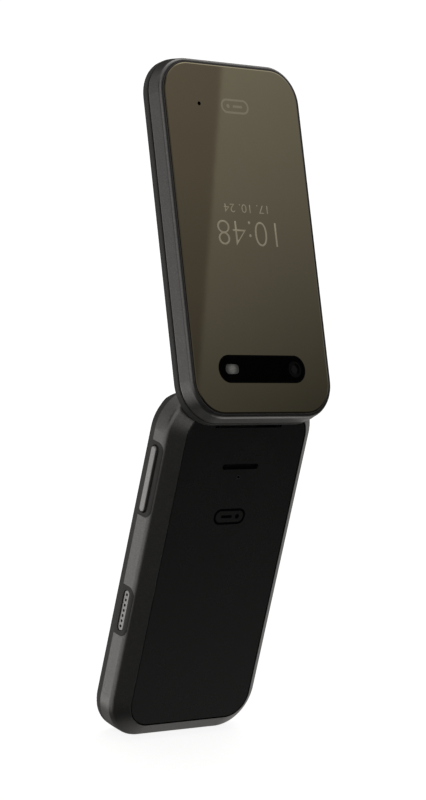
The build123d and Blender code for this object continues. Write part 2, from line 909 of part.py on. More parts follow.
rocker_outer = side_x + rocker_proud
rocker_back = side_x - shell_wall - rocker_behind_wall
with BuildPart() as volume_rocker:
    with BuildSketch(flank_plane(rocker_back)):
        with Locations((rocker_y, rocker_z)):
            SlotOverall(rocker_length, rocker_width, rotation=90)
    extrude(amount=rocker_outer - rocker_back)
    fillet(volume_rocker.faces().sort_by(Axis.X)[-1].edges(), radius=rocker_edge)
    with BuildSketch(flank_plane(rocker_back)):
        with Locations((rocker_y, rocker_z)):
            SlotOverall(
                rocker_length + 2 * rocker_flange_lip,
                rocker_width + 2 * rocker_flange_lip,
                rotation=90,
            )
    extrude(amount=-rocker_flange)
    # round rib across the back, on which the rocker tilts
    with BuildSketch(Plane.XZ.offset(-rocker_y - rocker_width / 2)):
        with Locations((rocker_back - rocker_flange, rocker_z)):
            Circle(rocker_pivot_radius)
    extrude(amount=rocker_width)
finish(volume_rocker, "volume_rocker")

# ---- side grille insert with a row of holes ----

grille_outer = side_x - grille_recess - side_draft
with BuildPart() as side_grille:
    with BuildSketch(flank_plane(grille_outer - grille_thick + grille_seat)):
        with Locations((grille_y, grille_z)):
            SlotOverall(grille_length, grille_width, rotation=90)
    extrude(amount=grille_thick - grille_seat)
    fillet(side_grille.faces().sort_by(Axis.X)[-1].edges(), radius=grille_edge)
    with BuildSketch(flank_plane(grille_outer - grille_thick - overcut)):
        with Locations((grille_y, grille_z)):
            with GridLocations(1, grille_pitch, 1, grille_holes):
                Circle(grille_hole_radius)
    extrude(amount=grille_thick + 2 * overcut, mode=Mode.SUBTRACT)
finish(side_grille, "side_grille")

# ---- hinge: cartridge and plain pin in the base, shaft in the lid ----

with BuildPart() as hinge_cartridge:
    with BuildSketch(axis_plane(notch_width / 2)):
        Circle(cartridge_radius)
        Circle(pin_radius + running_clearance, mode=Mode.SUBTRACT)
    extrude(amount=cartridge_length)
finish(hinge_cartridge, "hinge_cartridge")

with BuildPart() as hinge_pin:
    with BuildSketch(axis_plane(-ear_core_reach + pin_seat_wall)):
        Circle(pin_radius)
    extrude(amount=ear_core_reach - pin_seat_wall - pin_inner_end)
    chamfer(hinge_pin.faces().sort_by(Axis.X)[-1].edges(), length=pin_chamfer)
finish(hinge_pin, "hinge_pin")

with BuildPart() as hinge_shaft:
    with BuildSketch(axis_plane(shaft_start)):
        Circle(pin_radius)
    extrude(amount=notch_width / 2 + cartridge_length - shaft_end_gap - shaft_start)
    chamfer(hinge_shaft.faces().sort_by(Axis.X)[-1].edges(), length=pin_chamfer)
finish(hinge_shaft, "hinge_shaft")

# ---- lid: inner bezel with the hinge knuckle ----

glass_width = display_width + 2 * inner_glass_margin
glass_length = display_length + 2 * inner_glass_margin
inner_glass_floor = lid_inner + inner_glass_recess + inner_glass_thick
earpiece_v = lid_low + lid_length - earpiece_from_free_end
bumper_x = width / 2 - bumper_from_side
bumper_v = lid_low + lid_length - bumper_from_free_end
lid_screw_v = lid_low + lid_screw_from_end
display_v = display_middle + lid_low

with BuildPart() as lid_bezel:
    with BuildSketch(lid_plane(lid_inner)):
        lid_outline(0)
    extrude(amount=bezel_thick)
    fillet(lid_bezel.faces().sort_by(Axis.Y)[0].edges(), radius=bezel_edge_round)
    # knuckle round the hinge axis, with a web up to the lid
    with BuildSketch(axis_plane(-knuckle_half)):
        Circle(knuckle_radius)
    extrude(amount=2 * knuckle_half)
    with BuildSketch(lid_plane(0)):
        Rectangle(2 * knuckle_half, knuckle_web)
    extrude(amount=lid_inner + bezel_edge_round)
    with BuildSketch(axis_plane(-knuckle_half)):
        Circle(pin_radius + running_clearance)
    extrude(amount=knuckle_half + shaft_start, mode=Mode.SUBTRACT)
    with BuildSketch(axis_plane(0)):
        Circle(pin_radius)
    extrude(amount=knuckle_half, mode=Mode.SUBTRACT)
    # seat for the display glass, and the opening behind it
    with BuildSketch(lid_plane(lid_inner - overcut)):
        with Locations((0, display_v)):
            RectangleRounded(
                glass_width + 2 * fit_gap, glass_length + 2 * fit_gap, glass_seat_corner + fit_gap
            )
    extrude(amount=overcut + inner_glass_recess + inner_glass_thick, mode=Mode.SUBTRACT)
    with BuildSketch(lid_plane(lid_inner)):
        with Locations((0, display_v)):
            Rectangle(
                display_width + 2 * bezel_window_margin, display_length + 2 * bezel_window_margin
            )
    extrude(amount=bezel_thick + overcut, mode=Mode.SUBTRACT)
    # earpiece slot, bumper pockets and screw wells
    with BuildSketch(lid_plane(lid_inner - overcut)):
        with Locations((0, earpiece_v)):
            SlotOverall(earpiece_width + 2 * fit_gap, earpiece_height + 2 * fit_gap)
    extrude(amount=bezel_thick + 2 * overcut, mode=Mode.SUBTRACT)
    with BuildSketch(lid_plane(lid_inner)):
        for side in (-1, 1):
            with Locations((side * bumper_x, bumper_v)):
                RectangleRounded(
                    bumper_width + 2 * bumper_gap,
                    bumper_height + 2 * bumper_gap,
                    bumper_corner + bumper_gap,
                )
            with Locations((side * lid_screw_x, lid_screw_v)):
                Circle(screw_cap_radius + bumper_gap)
    extrude(amount=bumper_depth, mode=Mode.SUBTRACT)
    with BuildSketch(lid_plane(lid_inner)):
        for side in (-1, 1):
            with Locations((side * lid_screw_x, lid_screw_v)):
                Circle(screw_head_radius + screw_gap)
    extrude(amount=screw_cap_depth + screw_head + screw_gap, mode=Mode.SUBTRACT)
    with BuildSketch(lid_plane(lid_inner)):
        for side in (-1, 1):
            with Locations((side * lid_screw_x, lid_screw_v)):
                Circle(screw_radius + screw_gap / 2)
    extrude(amount=bezel_thick + overcut, mode=Mode.SUBTRACT)
finish(lid_bezel, "lid_bezel")

# ---- lid: outer frame ----

frame_height = lid_outer - lid_split
glass_floor = lid_outer + glass_proud - glass_thick
with BuildPart() as lid_frame:
    with BuildSketch(lid_plane(lid_split)):
        lid_outline(0)
    extrude(amount=frame_height, taper=math.degrees(math.atan(frame_draft / frame_height)))
    outward = lid_plane(0).z_dir
    outer_axis = Axis((0, hinge_y, hinge_z), outward)
    fillet(lid_frame.faces().sort_by(outer_axis)[-1].edges(), radius=frame_round)
    fillet(lid_frame.faces().sort_by(outer_axis)[0].edges(), radius=frame_lower_round)
    with BuildSketch(lid_plane(lid_split)):
        lid_outline(frame_wall)
    extrude(amount=frame_height, mode=Mode.SUBTRACT)
    with BuildSketch(lid_plane(glass_floor)):
        lid_outline(glass_inset - glass_gap)
    extrude(amount=frame_height, mode=Mode.SUBTRACT)
finish(lid_frame, "lid_frame")

# ---- lid: cover glass, camera window and what shows through it ----

window_v = lid_low + window_from_end
sensor_v = lid_low + sensor_from_end

with BuildPart() as cover_glass:
    with BuildSketch(lid_plane(glass_floor)):
        lid_outline(glass_inset)
        with Locations((0, window_v)):
            SlotOverall(window_width, window_height, mode=Mode.SUBTRACT)
        with Locations((-sensor_x, sensor_v)):
            Circle(sensor_radius, mode=Mode.SUBTRACT)
    extrude(amount=glass_thick)
    glass_edges = cover_glass.faces().sort_by(outer_axis)[-1].outer_wire().edges()
    chamfer(glass_edges, length=glass_chamfer_height, length2=glass_chamfer)
finish(cover_glass, "cover_glass")

with BuildPart() as camera_window:
    with BuildSketch(lid_plane(glass_floor)):
        with Locations((0, window_v)):
            SlotOverall(window_width - 2 * window_gap, window_height - 2 * window_gap)
        with Locations((-flash_x, window_v)):
            RectangleRounded(flash_width, flash_height, flash_corner, mode=Mode.SUBTRACT)
        with Locations((-lens_x, window_v)):
            Circle(lens_radius + lens_ring, mode=Mode.SUBTRACT)
    extrude(amount=glass_thick - window_recess)
finish(camera_window, "camera_window")

with BuildPart() as flash_lens:
    with BuildSketch(lid_plane(glass_floor - flash_stem)):
        with Locations((-flash_x, window_v)):
            RectangleRounded(
                flash_width - 2 * flash_gap, flash_height - 2 * flash_gap, flash_corner - flash_gap
            )
    extrude(amount=flash_stem + glass_thick - window_recess - flash_sink)
finish(flash_lens, "flash_lens")

with BuildPart() as lens_surround:
    with BuildSketch(lid_plane(glass_floor)):
        with Locations((-lens_x, window_v)):
            Circle(lens_radius + lens_ring - lens_gap)
            Circle(lens_radius - lens_lip, mode=Mode.SUBTRACT)
    extrude(amount=glass_thick - window_recess + trim_proud)
finish(lens_surround, "lens_surround")

with BuildPart() as camera_module:
    with BuildSketch(lid_plane(glass_floor - camera_step - camera_thick)):
        with Locations((-lens_x, window_v)):
            RectangleRounded(camera_size, camera_size, can_corner)
    extrude(amount=camera_thick)
    with BuildSketch(lid_plane(glass_floor - camera_step)):
        with Locations((-lens_x, window_v)):
            Circle(lens_radius - lens_lip - camera_snout_gap)
    extrude(amount=camera_step + camera_rise)
    with BuildSketch(lid_plane(glass_floor + camera_rise - camera_eye_depth)):
        with Locations((-lens_x, window_v)):
            Circle(camera_eye_radius)
    extrude(amount=camera_eye_depth, mode=Mode.SUBTRACT)
finish(camera_module, "camera_module")

with BuildPart() as outer_display:
    with BuildSketch(lid_plane(glass_floor - outer_display_thick)):
        with Locations((0, lid_low + outer_display_from_end)):
            RectangleRounded(outer_display_width, outer_display_length, display_rim)
    extrude(amount=outer_display_thick)
finish(outer_display, "outer_display")

# ---- lid: inner display, its glass, chassis and earpiece ----

with BuildPart() as inner_glass:
    with BuildSketch(lid_plane(lid_inner + inner_glass_recess)):
        with Locations((0, display_v)):
            RectangleRounded(glass_width, glass_length, glass_seat_corner)
    extrude(amount=inner_glass_thick)
finish(inner_glass, "inner_glass")

with BuildPart() as inner_display:
    with BuildSketch(lid_plane(inner_glass_floor)):
        with Locations((0, display_v)):
            RectangleRounded(
                display_width + 2 * display_rim, display_length + 2 * display_rim, display_rim
            )
    extrude(amount=lcd_thick)
finish(inner_display, "inner_display")

chassis_floor = inner_glass_floor + lcd_thick
receiver_v = earpiece_v - receiver_shift
with BuildPart() as lid_chassis:
    with BuildSketch(lid_plane(chassis_floor)):
        lid_outline(frame_wall + fit_gap)
    extrude(amount=chassis_thick)
    with BuildSketch(lid_plane(chassis_floor)):
        with Locations((0, display_v)):
            with GridLocations(chassis_window_pitch_x, chassis_window_pitch_v, 3, 3):
                RectangleRounded(
                    chassis_window_width, chassis_window_length, chassis_window_corner
                )
        with Locations((-lid_screw_x, lid_screw_v), (lid_screw_x, lid_screw_v)):
            Circle(screw_radius)
        with Locations((0, receiver_v)):
            RectangleRounded(
                receiver_width + 2 * receiver_gap,
                receiver_height + 2 * receiver_gap,
                receiver_corner + receiver_gap,
            )
    extrude(amount=chassis_thick, mode=Mode.SUBTRACT)
finish(lid_chassis, "lid_chassis")

with BuildPart() as earpiece_grille:
    with BuildSketch(lid_plane(lid_inner + earpiece_recess)):
        with Locations((0, earpiece_v)):
            SlotOverall(earpiece_width, earpiece_height)
            with GridLocations(earpiece_pitch, 1, earpiece_holes, 1):
                Circle(earpiece_hole_radius, mode=Mode.SUBTRACT)
    extrude(amount=earpiece_thick)
finish(earpiece_grille, "earpiece_grille")

with BuildPart() as receiver:
    with BuildSketch(lid_plane(lid_split + receiver_gap)):
        with Locations((0, receiver_v)):
            RectangleRounded(receiver_width, receiver_height, receiver_corner)
    extrude(amount=receiver_thick)
finish(receiver, "receiver")

with BuildPart() as lid_bumpers:
    with BuildSketch(lid_plane(lid_inner - bumper_proud)):
        for side in (-1, 1):
            with Locations((side * bumper_x, bumper_v)):
                RectangleRounded(bumper_width, bumper_height, bumper_corner)
    extrude(amount=bumper_proud + bumper_depth)
finish(lid_bumpers, "lid_bumpers")

with BuildPart() as screw_caps:
    with BuildSketch(lid_plane(lid_inner + screw_cap_sink)):
        for side in (-1, 1):
            with Locations((side * lid_screw_x, lid_screw_v)):
                Circle(screw_cap_radius)
    extrude(amount=screw_cap_depth - screw_cap_sink)
finish(screw_caps, "screw_caps")

with BuildPart() as lid_screws:
    with BuildSketch(lid_plane(lid_inner + screw_cap_depth)):
        for side in (-1, 1):
            with Locations((side * lid_screw_x, lid_screw_v)):
                Circle(screw_head_radius)
    extrude(amount=screw_head)
    with BuildSketch(lid_plane(lid_inner + screw_cap_depth + screw_head)):
        for side in (-1, 1):
            with Locations((side * lid_screw_x, lid_screw_v)):
                Circle(screw_radius)
    extrude(amount=lid_screw_length)
finish(lid_screws, "lid_screws")
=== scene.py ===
"""Looks of a clamshell mobile phone: finishes of its CAD parts, and small pieces added to them."""

import json
import math

import bpy
from mathutils import Matrix, Vector

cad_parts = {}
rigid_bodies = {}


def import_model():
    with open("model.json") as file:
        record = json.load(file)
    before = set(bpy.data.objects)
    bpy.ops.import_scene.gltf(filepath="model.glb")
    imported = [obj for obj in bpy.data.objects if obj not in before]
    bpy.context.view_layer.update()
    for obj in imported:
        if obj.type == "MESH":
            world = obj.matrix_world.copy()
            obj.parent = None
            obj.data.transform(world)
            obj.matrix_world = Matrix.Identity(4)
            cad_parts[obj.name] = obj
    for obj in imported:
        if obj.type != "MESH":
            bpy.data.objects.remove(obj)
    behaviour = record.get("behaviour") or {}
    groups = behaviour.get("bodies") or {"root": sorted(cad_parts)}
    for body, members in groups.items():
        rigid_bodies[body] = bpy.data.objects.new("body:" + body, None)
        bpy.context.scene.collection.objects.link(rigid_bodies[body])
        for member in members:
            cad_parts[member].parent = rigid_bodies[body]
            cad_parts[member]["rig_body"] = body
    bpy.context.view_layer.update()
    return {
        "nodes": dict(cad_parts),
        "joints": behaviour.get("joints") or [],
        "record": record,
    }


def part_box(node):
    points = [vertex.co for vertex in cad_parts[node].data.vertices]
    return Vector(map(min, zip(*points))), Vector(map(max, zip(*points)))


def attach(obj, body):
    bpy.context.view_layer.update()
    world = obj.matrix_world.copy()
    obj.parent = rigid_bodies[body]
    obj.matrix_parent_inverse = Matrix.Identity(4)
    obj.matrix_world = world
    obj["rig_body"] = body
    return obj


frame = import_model()

MM = 0.001
MICRON = 0.001 * MM
scene = bpy.context.scene

# ---- places, read from the frame ----

lid_joint = next(j for j in frame["joints"] if j["name"] == "lid_hinge")
HINGE = Vector(lid_joint["pos_m"])
LEAN = math.pi - math.radians(lid_joint["range_deg"][1])
LID_OUT = Vector((0, math.cos(LEAN), math.sin(LEAN)))
LID_ALONG = Vector((0, -math.sin(LEAN), math.cos(LEAN)))
SIDE = Vector((1, 0, 0))
UP = Vector((0, 0, 1))
BACK = Vector((0, 1, 0))


def middle(node):
    """Centre of a CAD node's box."""
    low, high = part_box(node)
    return (low + high) / 2


def reach(node, direction, side=max):
    """How far a CAD node's mesh goes along a direction, from the hinge axis."""
    mesh = frame["nodes"][node].data
    return side((vertex.co - HINGE).dot(direction) for vertex in mesh.vertices)


GLASS_FACE = reach("cover_glass", LID_OUT)
WINDOW_FACE = reach("camera_window", LID_OUT)
LID_END = reach("lid_frame", LID_ALONG, min)
PANEL_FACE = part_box("back_panel")[1].y


def lid_point(x, along, out):
    """Point on the open lid: across, from the lid's hinge end, and out from the hinge axis."""
    return HINGE + SIDE * x + LID_ALONG * (LID_END + along) + LID_OUT * out


def axes(origin, across, up):
    """Matrix that puts a piece drawn flat at the origin in its place."""
    out = across.cross(up)
    return Matrix(
        (
            (across.x, up.x, out.x, origin.x),
            (across.y, up.y, out.y, origin.y),
            (across.z, up.z, out.z, origin.z),
            (0, 0, 0, 1),
        )
    )


# ---- camera ----

FOCAL_LENGTH = 112.008
SENSOR_WIDTH = 36.0
NEAR_CLIP = 0.01
CAMERA_PLACE = (0.46707, 0.543952, 0.281268)
CAMERA_DEGREES = (75.5175, -11.441, 142.1301)


def add_camera():
    """Camera that looks at the back of the open phone from a little above."""
    data = bpy.data.cameras.new("camera")
    data.lens = FOCAL_LENGTH
    data.sensor_width = SENSOR_WIDTH
    data.clip_start = NEAR_CLIP
    camera = bpy.data.objects.new("camera", data)
    camera.location = CAMERA_PLACE
    camera.rotation_euler = [math.radians(angle) for angle in CAMERA_DEGREES]
    scene.collection.objects.link(camera)
    scene.camera = camera


# ---- small helpers for node trees ----


def add_node(tree, kind, settings=None, **inputs):
    """Add a node, set its properties, and set or link its inputs."""
    node = tree.nodes.new(kind)
    for name, value in (settings or {}).items():
        setattr(node, name, value)
    for name, value in inputs.items():
        key = int(name[1:]) if name[0] == "i" and name[1:].isdigit() else name.replace("_", " ")
        if isinstance(value, bpy.types.NodeSocket):
            tree.links.new(value, node.inputs[key])
        else:
            node.inputs[key].default_value = value
    return node


def add_math(tree, operation, first, second=0.0):
    """One step of arithmetic."""
    settings = {"operation": operation}
    return add_node(tree, "ShaderNodeMath", settings, i0=first, i1=second).outputs[0]


def add_vector_math(tree, operation, first, second):
    """One step of vector arithmetic: the node, whose Vector or Value output is then used."""
    return add_node(
        tree, "ShaderNodeVectorMath", {"operation": operation}, i0=first, i1=second
    )


def add_range(tree, value, low, high, to_low, to_high, smooth=False):
    """Map low..high onto to_low..to_high and hold the ends."""
    kind = "SMOOTHSTEP" if smooth else "LINEAR"
    node = add_node(
        tree,
        "ShaderNodeMapRange",
        {"interpolation_type": kind, "clamp": True},
        Value=value,
        From_Min=low,
        From_Max=high,
        To_Min=to_low,
        To_Max=to_high,
    )
    return node.outputs["Result"]


def add_mix(tree, factor, first, second):
    """Colour between the first (factor 0) and the second (factor 1)."""
    settings = {"data_type": "RGBA"}
    node = add_node(tree, "ShaderNodeMix", settings, i0=factor, i6=first, i7=second)
    return node.outputs[2]


def new_group(name, values, outputs):
    """An empty node group with named float inputs and float outputs."""
    tree = bpy.data.node_groups.new(name, "ShaderNodeTree")
    for label, default in values.items():
        made = tree.interface.new_socket(label, in_out="INPUT", socket_type="NodeSocketFloat")
        made.default_value = default
    for label in outputs:
        tree.interface.new_socket(label, in_out="OUTPUT", socket_type="NodeSocketFloat")
    start = tree.nodes.new("NodeGroupInput")
    end = tree.nodes.new("NodeGroupOutput")
    return tree, start.outputs, end.inputs


def use_group(tree, group, **inputs):
    """Outputs of a shared effect, with its inputs set."""
    node = add_node(tree, "ShaderNodeGroup", {"node_tree": group})
    for name, value in inputs.items():
        node.inputs[name.replace("_", " ")].default_value = value
    return node.outputs


def place_coordinate(tree):
    """Object coordinates, in metres."""
    return add_node(tree, "ShaderNodeTexCoord").outputs["Object"]


# ---- effects shared by the finishes ----

STREAKS_PER_SMEAR = 6.0
SPECK_EDGE = 1.6


def build_grain():
    """Fine even grain of a moulded or sprayed surface. Size is in metres."""
    tree, start, end = new_group("fine_grain", {"Size": 0.2 * MM}, ["Height"])
    scale = add_math(tree, "DIVIDE", 1.0, start["Size"])
    noise = add_node(
        tree,
        "ShaderNodeTexNoise",
        Vector=place_coordinate(tree),
        Scale=scale,
        Detail=2.0,
        Roughness=0.6,
    )
    tree.links.new(noise.outputs["Fac"], end["Height"])
    return tree


def build_flakes():
    """Metal flakes in paint: each tiny cell has its own brightness."""
    tree, start, end = new_group("paint_flakes", {"Size": 0.12 * MM}, ["Flake"])
    scale = add_math(tree, "DIVIDE", 1.0, start["Size"])
    cells = add_node(tree, "ShaderNodeTexVoronoi", Vector=place_coordinate(tree), Scale=scale)
    split = add_node(tree, "ShaderNodeSeparateColor", Color=cells.outputs["Color"])
    flake = add_math(tree, "POWER", split.outputs[0], 2.0)
    tree.links.new(flake, end["Flake"])
    return tree


def build_handling():
    """Soft smears that fingers leave, 0 where clean and 1 where greasy."""
    tree, start, end = new_group("handling_marks", {"Size": 20 * MM, "Amount": 0.5}, ["Mark"])
    place = place_coordinate(tree)
    scale = add_math(tree, "DIVIDE", 1.0, start["Size"])
    broad = add_node(
        tree,
        "ShaderNodeTexNoise",
        Vector=place,
        Scale=scale,
        Detail=3.0,
        Roughness=0.55,
        Distortion=0.8,
    )
    fine_scale = add_math(tree, "MULTIPLY", scale, STREAKS_PER_SMEAR)
    fine = add_node(tree, "ShaderNodeTexNoise", Vector=place, Scale=fine_scale, Detail=2.0)
    spread = add_range(tree, broad.outputs["Fac"], 0.45, 0.75, 0.0, 1.0, smooth=True)
    streak = add_range(tree, fine.outputs["Fac"], 0.35, 0.65, 0.5, 1.0)
    mark = add_math(tree, "MULTIPLY", spread, streak)
    mark = add_math(tree, "MULTIPLY", mark, start["Amount"])
    tree.links.new(mark, end["Mark"])
    return tree


def build_dust():
    """Sparse dust specks, 1 on a speck; Speck is its radius as a share of the spacing."""
    sizes = {"Spacing": 2 * MM, "Speck": 0.03}
    tree, start, end = new_group("dust_specks", sizes, ["Dust"])
    scale = add_math(tree, "DIVIDE", 1.0, start["Spacing"])
    cells = add_node(tree, "ShaderNodeTexVoronoi", Vector=place_coordinate(tree), Scale=scale)
    edge = add_math(tree, "MULTIPLY", start["Speck"], SPECK_EDGE)
    speck = add_range(tree, cells.outputs["Distance"], start["Speck"], edge, 1.0, 0.0)
    tree.links.new(speck, end["Dust"])
    return tree


GRAIN = build_grain()
FLAKES = build_flakes()
HANDLING = build_handling()
DUST = build_dust()


def new_material(name, **values):
    """Material with one Principled shader whose even values are set on its sockets."""
    material = bpy.data.materials.new(name)
    material.use_nodes = True
    tree = material.node_tree
    shader = tree.nodes["Principled BSDF"]
    for label, value in values.items():
        shader.inputs[label.replace("_", " ")].default_value = value
    return material, tree, shader


def join(tree, output, shader, name):
    """Link an output to one of the shader's inputs."""
    tree.links.new(output, shader.inputs[name])


def add_bump(tree, shader, height, depth, strength=1.0):
    """Bump on the shader's normal; depth is in metres."""
    bump = add_node(tree, "ShaderNodeBump", Strength=strength, Distance=depth, Height=height)
    join(tree, bump.outputs["Normal"], shader, "Normal")


# ---- finishes ----


def grey(value, warm=0.0):
    """Opaque grey, a little warmer where asked."""
    return (value * (1 + warm), value, value * (1 - warm), 1)


def satin_paint(name, dark, light, metal, smooth, rough):
    """Satin metallic paint on plastic: flakes, fine spray grain and faint handling marks."""
    worn_share = 0.25
    material, tree, shader = new_material(name, Metallic=metal, Specular_IOR_Level=0.45)
    flake = use_group(tree, FLAKES, Size=0.16 * MM)["Flake"]
    mark = use_group(tree, HANDLING, Size=18 * MM, Amount=0.5)["Mark"]
    paint = add_mix(tree, flake, dark, light)
    worn = add_mix(tree, add_math(tree, "MULTIPLY", mark, worn_share), paint, light)
    join(tree, worn, shader, "Base Color")
    join(tree, add_range(tree, mark, 0.0, 1.0, rough, smooth), shader, "Roughness")
    grain = use_group(tree, GRAIN, Size=0.22 * MM)["Height"]
    add_bump(tree, shader, grain, depth=4 * MICRON)
    return material


def moulded_plastic(
    name, dark, light, smooth, rough, grain=0.3 * MM, depth=6 * MICRON, specular=0.4
):
    """Moulded plastic: fine texture, slight colour change and smoother rubbed areas."""
    material, tree, shader = new_material(name, Specular_IOR_Level=specular)
    height = use_group(tree, GRAIN, Size=grain)["Height"]
    mark = use_group(tree, HANDLING, Size=12 * MM, Amount=0.8)["Mark"]
    join(tree, add_mix(tree, height, dark, light), shader, "Base Color")
    join(tree, add_range(tree, mark, 0.0, 1.0, rough, smooth), shader, "Roughness")
    add_bump(tree, shader, height, depth)
    return material


def polished_plastic(name, dark, light, smooth, rough, specular=0.5):
    """Polished black surface: slow ripple, faint smears and a little dust."""
    dust_share = 0.12
    dust_colour = (0.3, 0.3, 0.29, 1)
    material, tree, shader = new_material(name, Specular_IOR_Level=specular)
    mark = use_group(tree, HANDLING, Size=16 * MM, Amount=0.7)["Mark"]
    dust = use_group(tree, DUST, Spacing=4.5 * MM, Speck=0.012)["Dust"]
    ripple = use_group(tree, GRAIN, Size=4 * MM)["Height"]
    tint = add_mix(tree, ripple, dark, light)
    dusty = add_mix(tree, add_math(tree, "MULTIPLY", dust, dust_share), tint, dust_colour)
    join(tree, dusty, shader, "Base Color")
    greasy = add_math(tree, "MAXIMUM", mark, dust)
    join(tree, add_range(tree, greasy, 0.0, 1.0, smooth, rough), shader, "Roughness")
    add_bump(tree, shader, ripple, depth=8 * MICRON, strength=0.4)
    return material


def bronze_mirror():
    """Dark glass with a half-mirror bronze coating."""
    dark_bronze = (0.425, 0.372, 0.246, 1)
    light_bronze = (0.445, 0.392, 0.262, 1)
    dust_share = 0.15
    dust_colour = (0.6, 0.58, 0.52, 1)
    clean, smeared = 0.018, 0.055
    material, tree, shader = new_material(
        "bronze_mirror", Metallic=1.0, Coat_Weight=0.35, Coat_Roughness=0.02, Coat_IOR=1.5
    )
    mark = use_group(tree, HANDLING, Size=22 * MM, Amount=0.5)["Mark"]
    dust = use_group(tree, DUST, Spacing=6 * MM, Speck=0.008)["Dust"]
    ripple = use_group(tree, GRAIN, Size=9 * MM)["Height"]
    tint = add_mix(tree, ripple, dark_bronze, light_bronze)
    dusty = add_mix(tree, add_math(tree, "MULTIPLY", dust, dust_share), tint, dust_colour)
    join(tree, dusty, shader, "Base Color")
    join(tree, add_range(tree, mark, 0.0, 1.0, clean, smeared), shader, "Roughness")
    add_bump(tree, shader, ripple, depth=4 * MICRON, strength=0.25)
    return material


def brushed_metal(name, dark, light, smooth, rough, stretch=(1.0, 1.0, 30.0)):
    """Drawn or brushed metal with fine lines along one axis."""
    lines_per_metre = 500.0
    material, tree, shader = new_material(name, Metallic=1.0)
    turned = add_node(
        tree, "ShaderNodeMapping", Vector=place_coordinate(tree), Scale=stretch
    )
    lines = add_node(
        tree,
        "ShaderNodeTexNoise",
        Vector=turned.outputs["Vector"],
        Scale=lines_per_metre,
        Detail=4.0,
        Roughness=0.7,
    ).outputs["Fac"]
    join(tree, add_mix(tree, lines, dark, light), shader, "Base Color")
    join(tree, add_range(tree, lines, 0.3, 0.7, smooth, rough), shader, "Roughness")
    add_bump(tree, shader, lines, depth=3 * MICRON)
    return material


def ink(name, dark, light, glow=0.0):
    """Printed ink or lit segments with slight unevenness; glow makes lit segments give light, and on
    a print it is a painted glow.
    """
    material, tree, shader = new_material(name, Roughness=0.45, Emission_Strength=glow)
    height = use_group(tree, GRAIN, Size=0.4 * MM)["Height"]
    tint = add_mix(tree, height, dark, light)
    join(tree, tint, shader, "Base Color")
    if glow:
        join(tree, tint, shader, "Emission Color")
    add_bump(tree, shader, height, depth=3 * MICRON)
    return material


def box_mask(tree, place, centre, half, soft=0.2 * MM):
    """1 inside a box around a centre, 0 outside; half gives its half sizes, None for endless."""
    inside = None
    apart = add_vector_math(tree, "SUBTRACT", place, centre)
    parts = add_node(tree, "ShaderNodeSeparateXYZ", Vector=apart.outputs["Vector"])
    for axis, size in enumerate(half):
        if size is None:
            continue
        away = add_math(tree, "ABSOLUTE", parts.outputs[axis])
        near = add_range(tree, away, size - soft, size, 1.0, 0.0)
        inside = near if inside is None else add_math(tree, "MULTIPLY", inside, near)
    return inside


def screen_glass():
    """Cover glass of the inner screen: black border and a slightly lighter dark screen."""
    screen_half = (22 * MM, None, 30 * MM)
    border = (0.004, 0.004, 0.0045, 1)
    screen_dark = (0.011, 0.012, 0.016, 1)
    screen_light = (0.016, 0.017, 0.022, 1)
    clean, smeared = 0.04, 0.16
    material, tree, shader = new_material("screen_glass", Coat_Weight=0.3, Coat_Roughness=0.02)
    turned = add_node(
        tree,
        "ShaderNodeMapping",
        {"vector_type": "TEXTURE"},
        Vector=place_coordinate(tree),
        Location=middle("inner_glass"),
        Rotation=(LEAN, 0, 0),
    )
    mask = box_mask(tree, turned.outputs["Vector"], (0, 0, 0), screen_half)
    mark = use_group(tree, HANDLING, Size=18 * MM, Amount=0.7)["Mark"]
    cells = use_group(tree, GRAIN, Size=0.5 * MM)["Height"]
    screen = add_mix(tree, cells, screen_dark, screen_light)
    join(tree, add_mix(tree, mask, border, screen), shader, "Base Color")
    join(tree, add_range(tree, mark, 0.0, 1.0, clean, smeared), shader, "Roughness")
    ripple = use_group(tree, GRAIN, Size=6 * MM)["Height"]
    add_bump(tree, shader, ripple, depth=3 * MICRON, strength=0.3)
    return material


def circuit_board():
    """Solder mask over copper tracks, with bare pads."""
    mask_dark = (0.012, 0.075, 0.03, 1)
    mask_light = (0.03, 0.15, 0.06, 1)
    pad_gold = (0.75, 0.55, 0.25, 1)
    squares_per_metre = 420.0
    material, tree, shader = new_material("circuit_board", Specular_IOR_Level=0.5)
    squares = add_node(
        tree,
        "ShaderNodeTexVoronoi",
        {"distance": "MANHATTAN", "feature": "F1"},
        Vector=place_coordinate(tree),
        Scale=squares_per_metre,
        Randomness=0.8,
    ).outputs["Distance"]
    tracks = add_range(tree, squares, 0.42, 0.5, 0.0, 1.0)
    pads = add_range(tree, squares, 0.1, 0.12, 1.0, 0.0)
    mask = add_mix(tree, tracks, mask_dark, mask_light)
    join(tree, add_mix(tree, pads, mask, pad_gold), shader, "Base Color")
    join(tree, add_range(tree, pads, 0.0, 1.0, 0.35, 0.25), shader, "Roughness")
    join(tree, pads, shader, "Metallic")
    add_bump(tree, shader, tracks, depth=20 * MICRON)
    return material


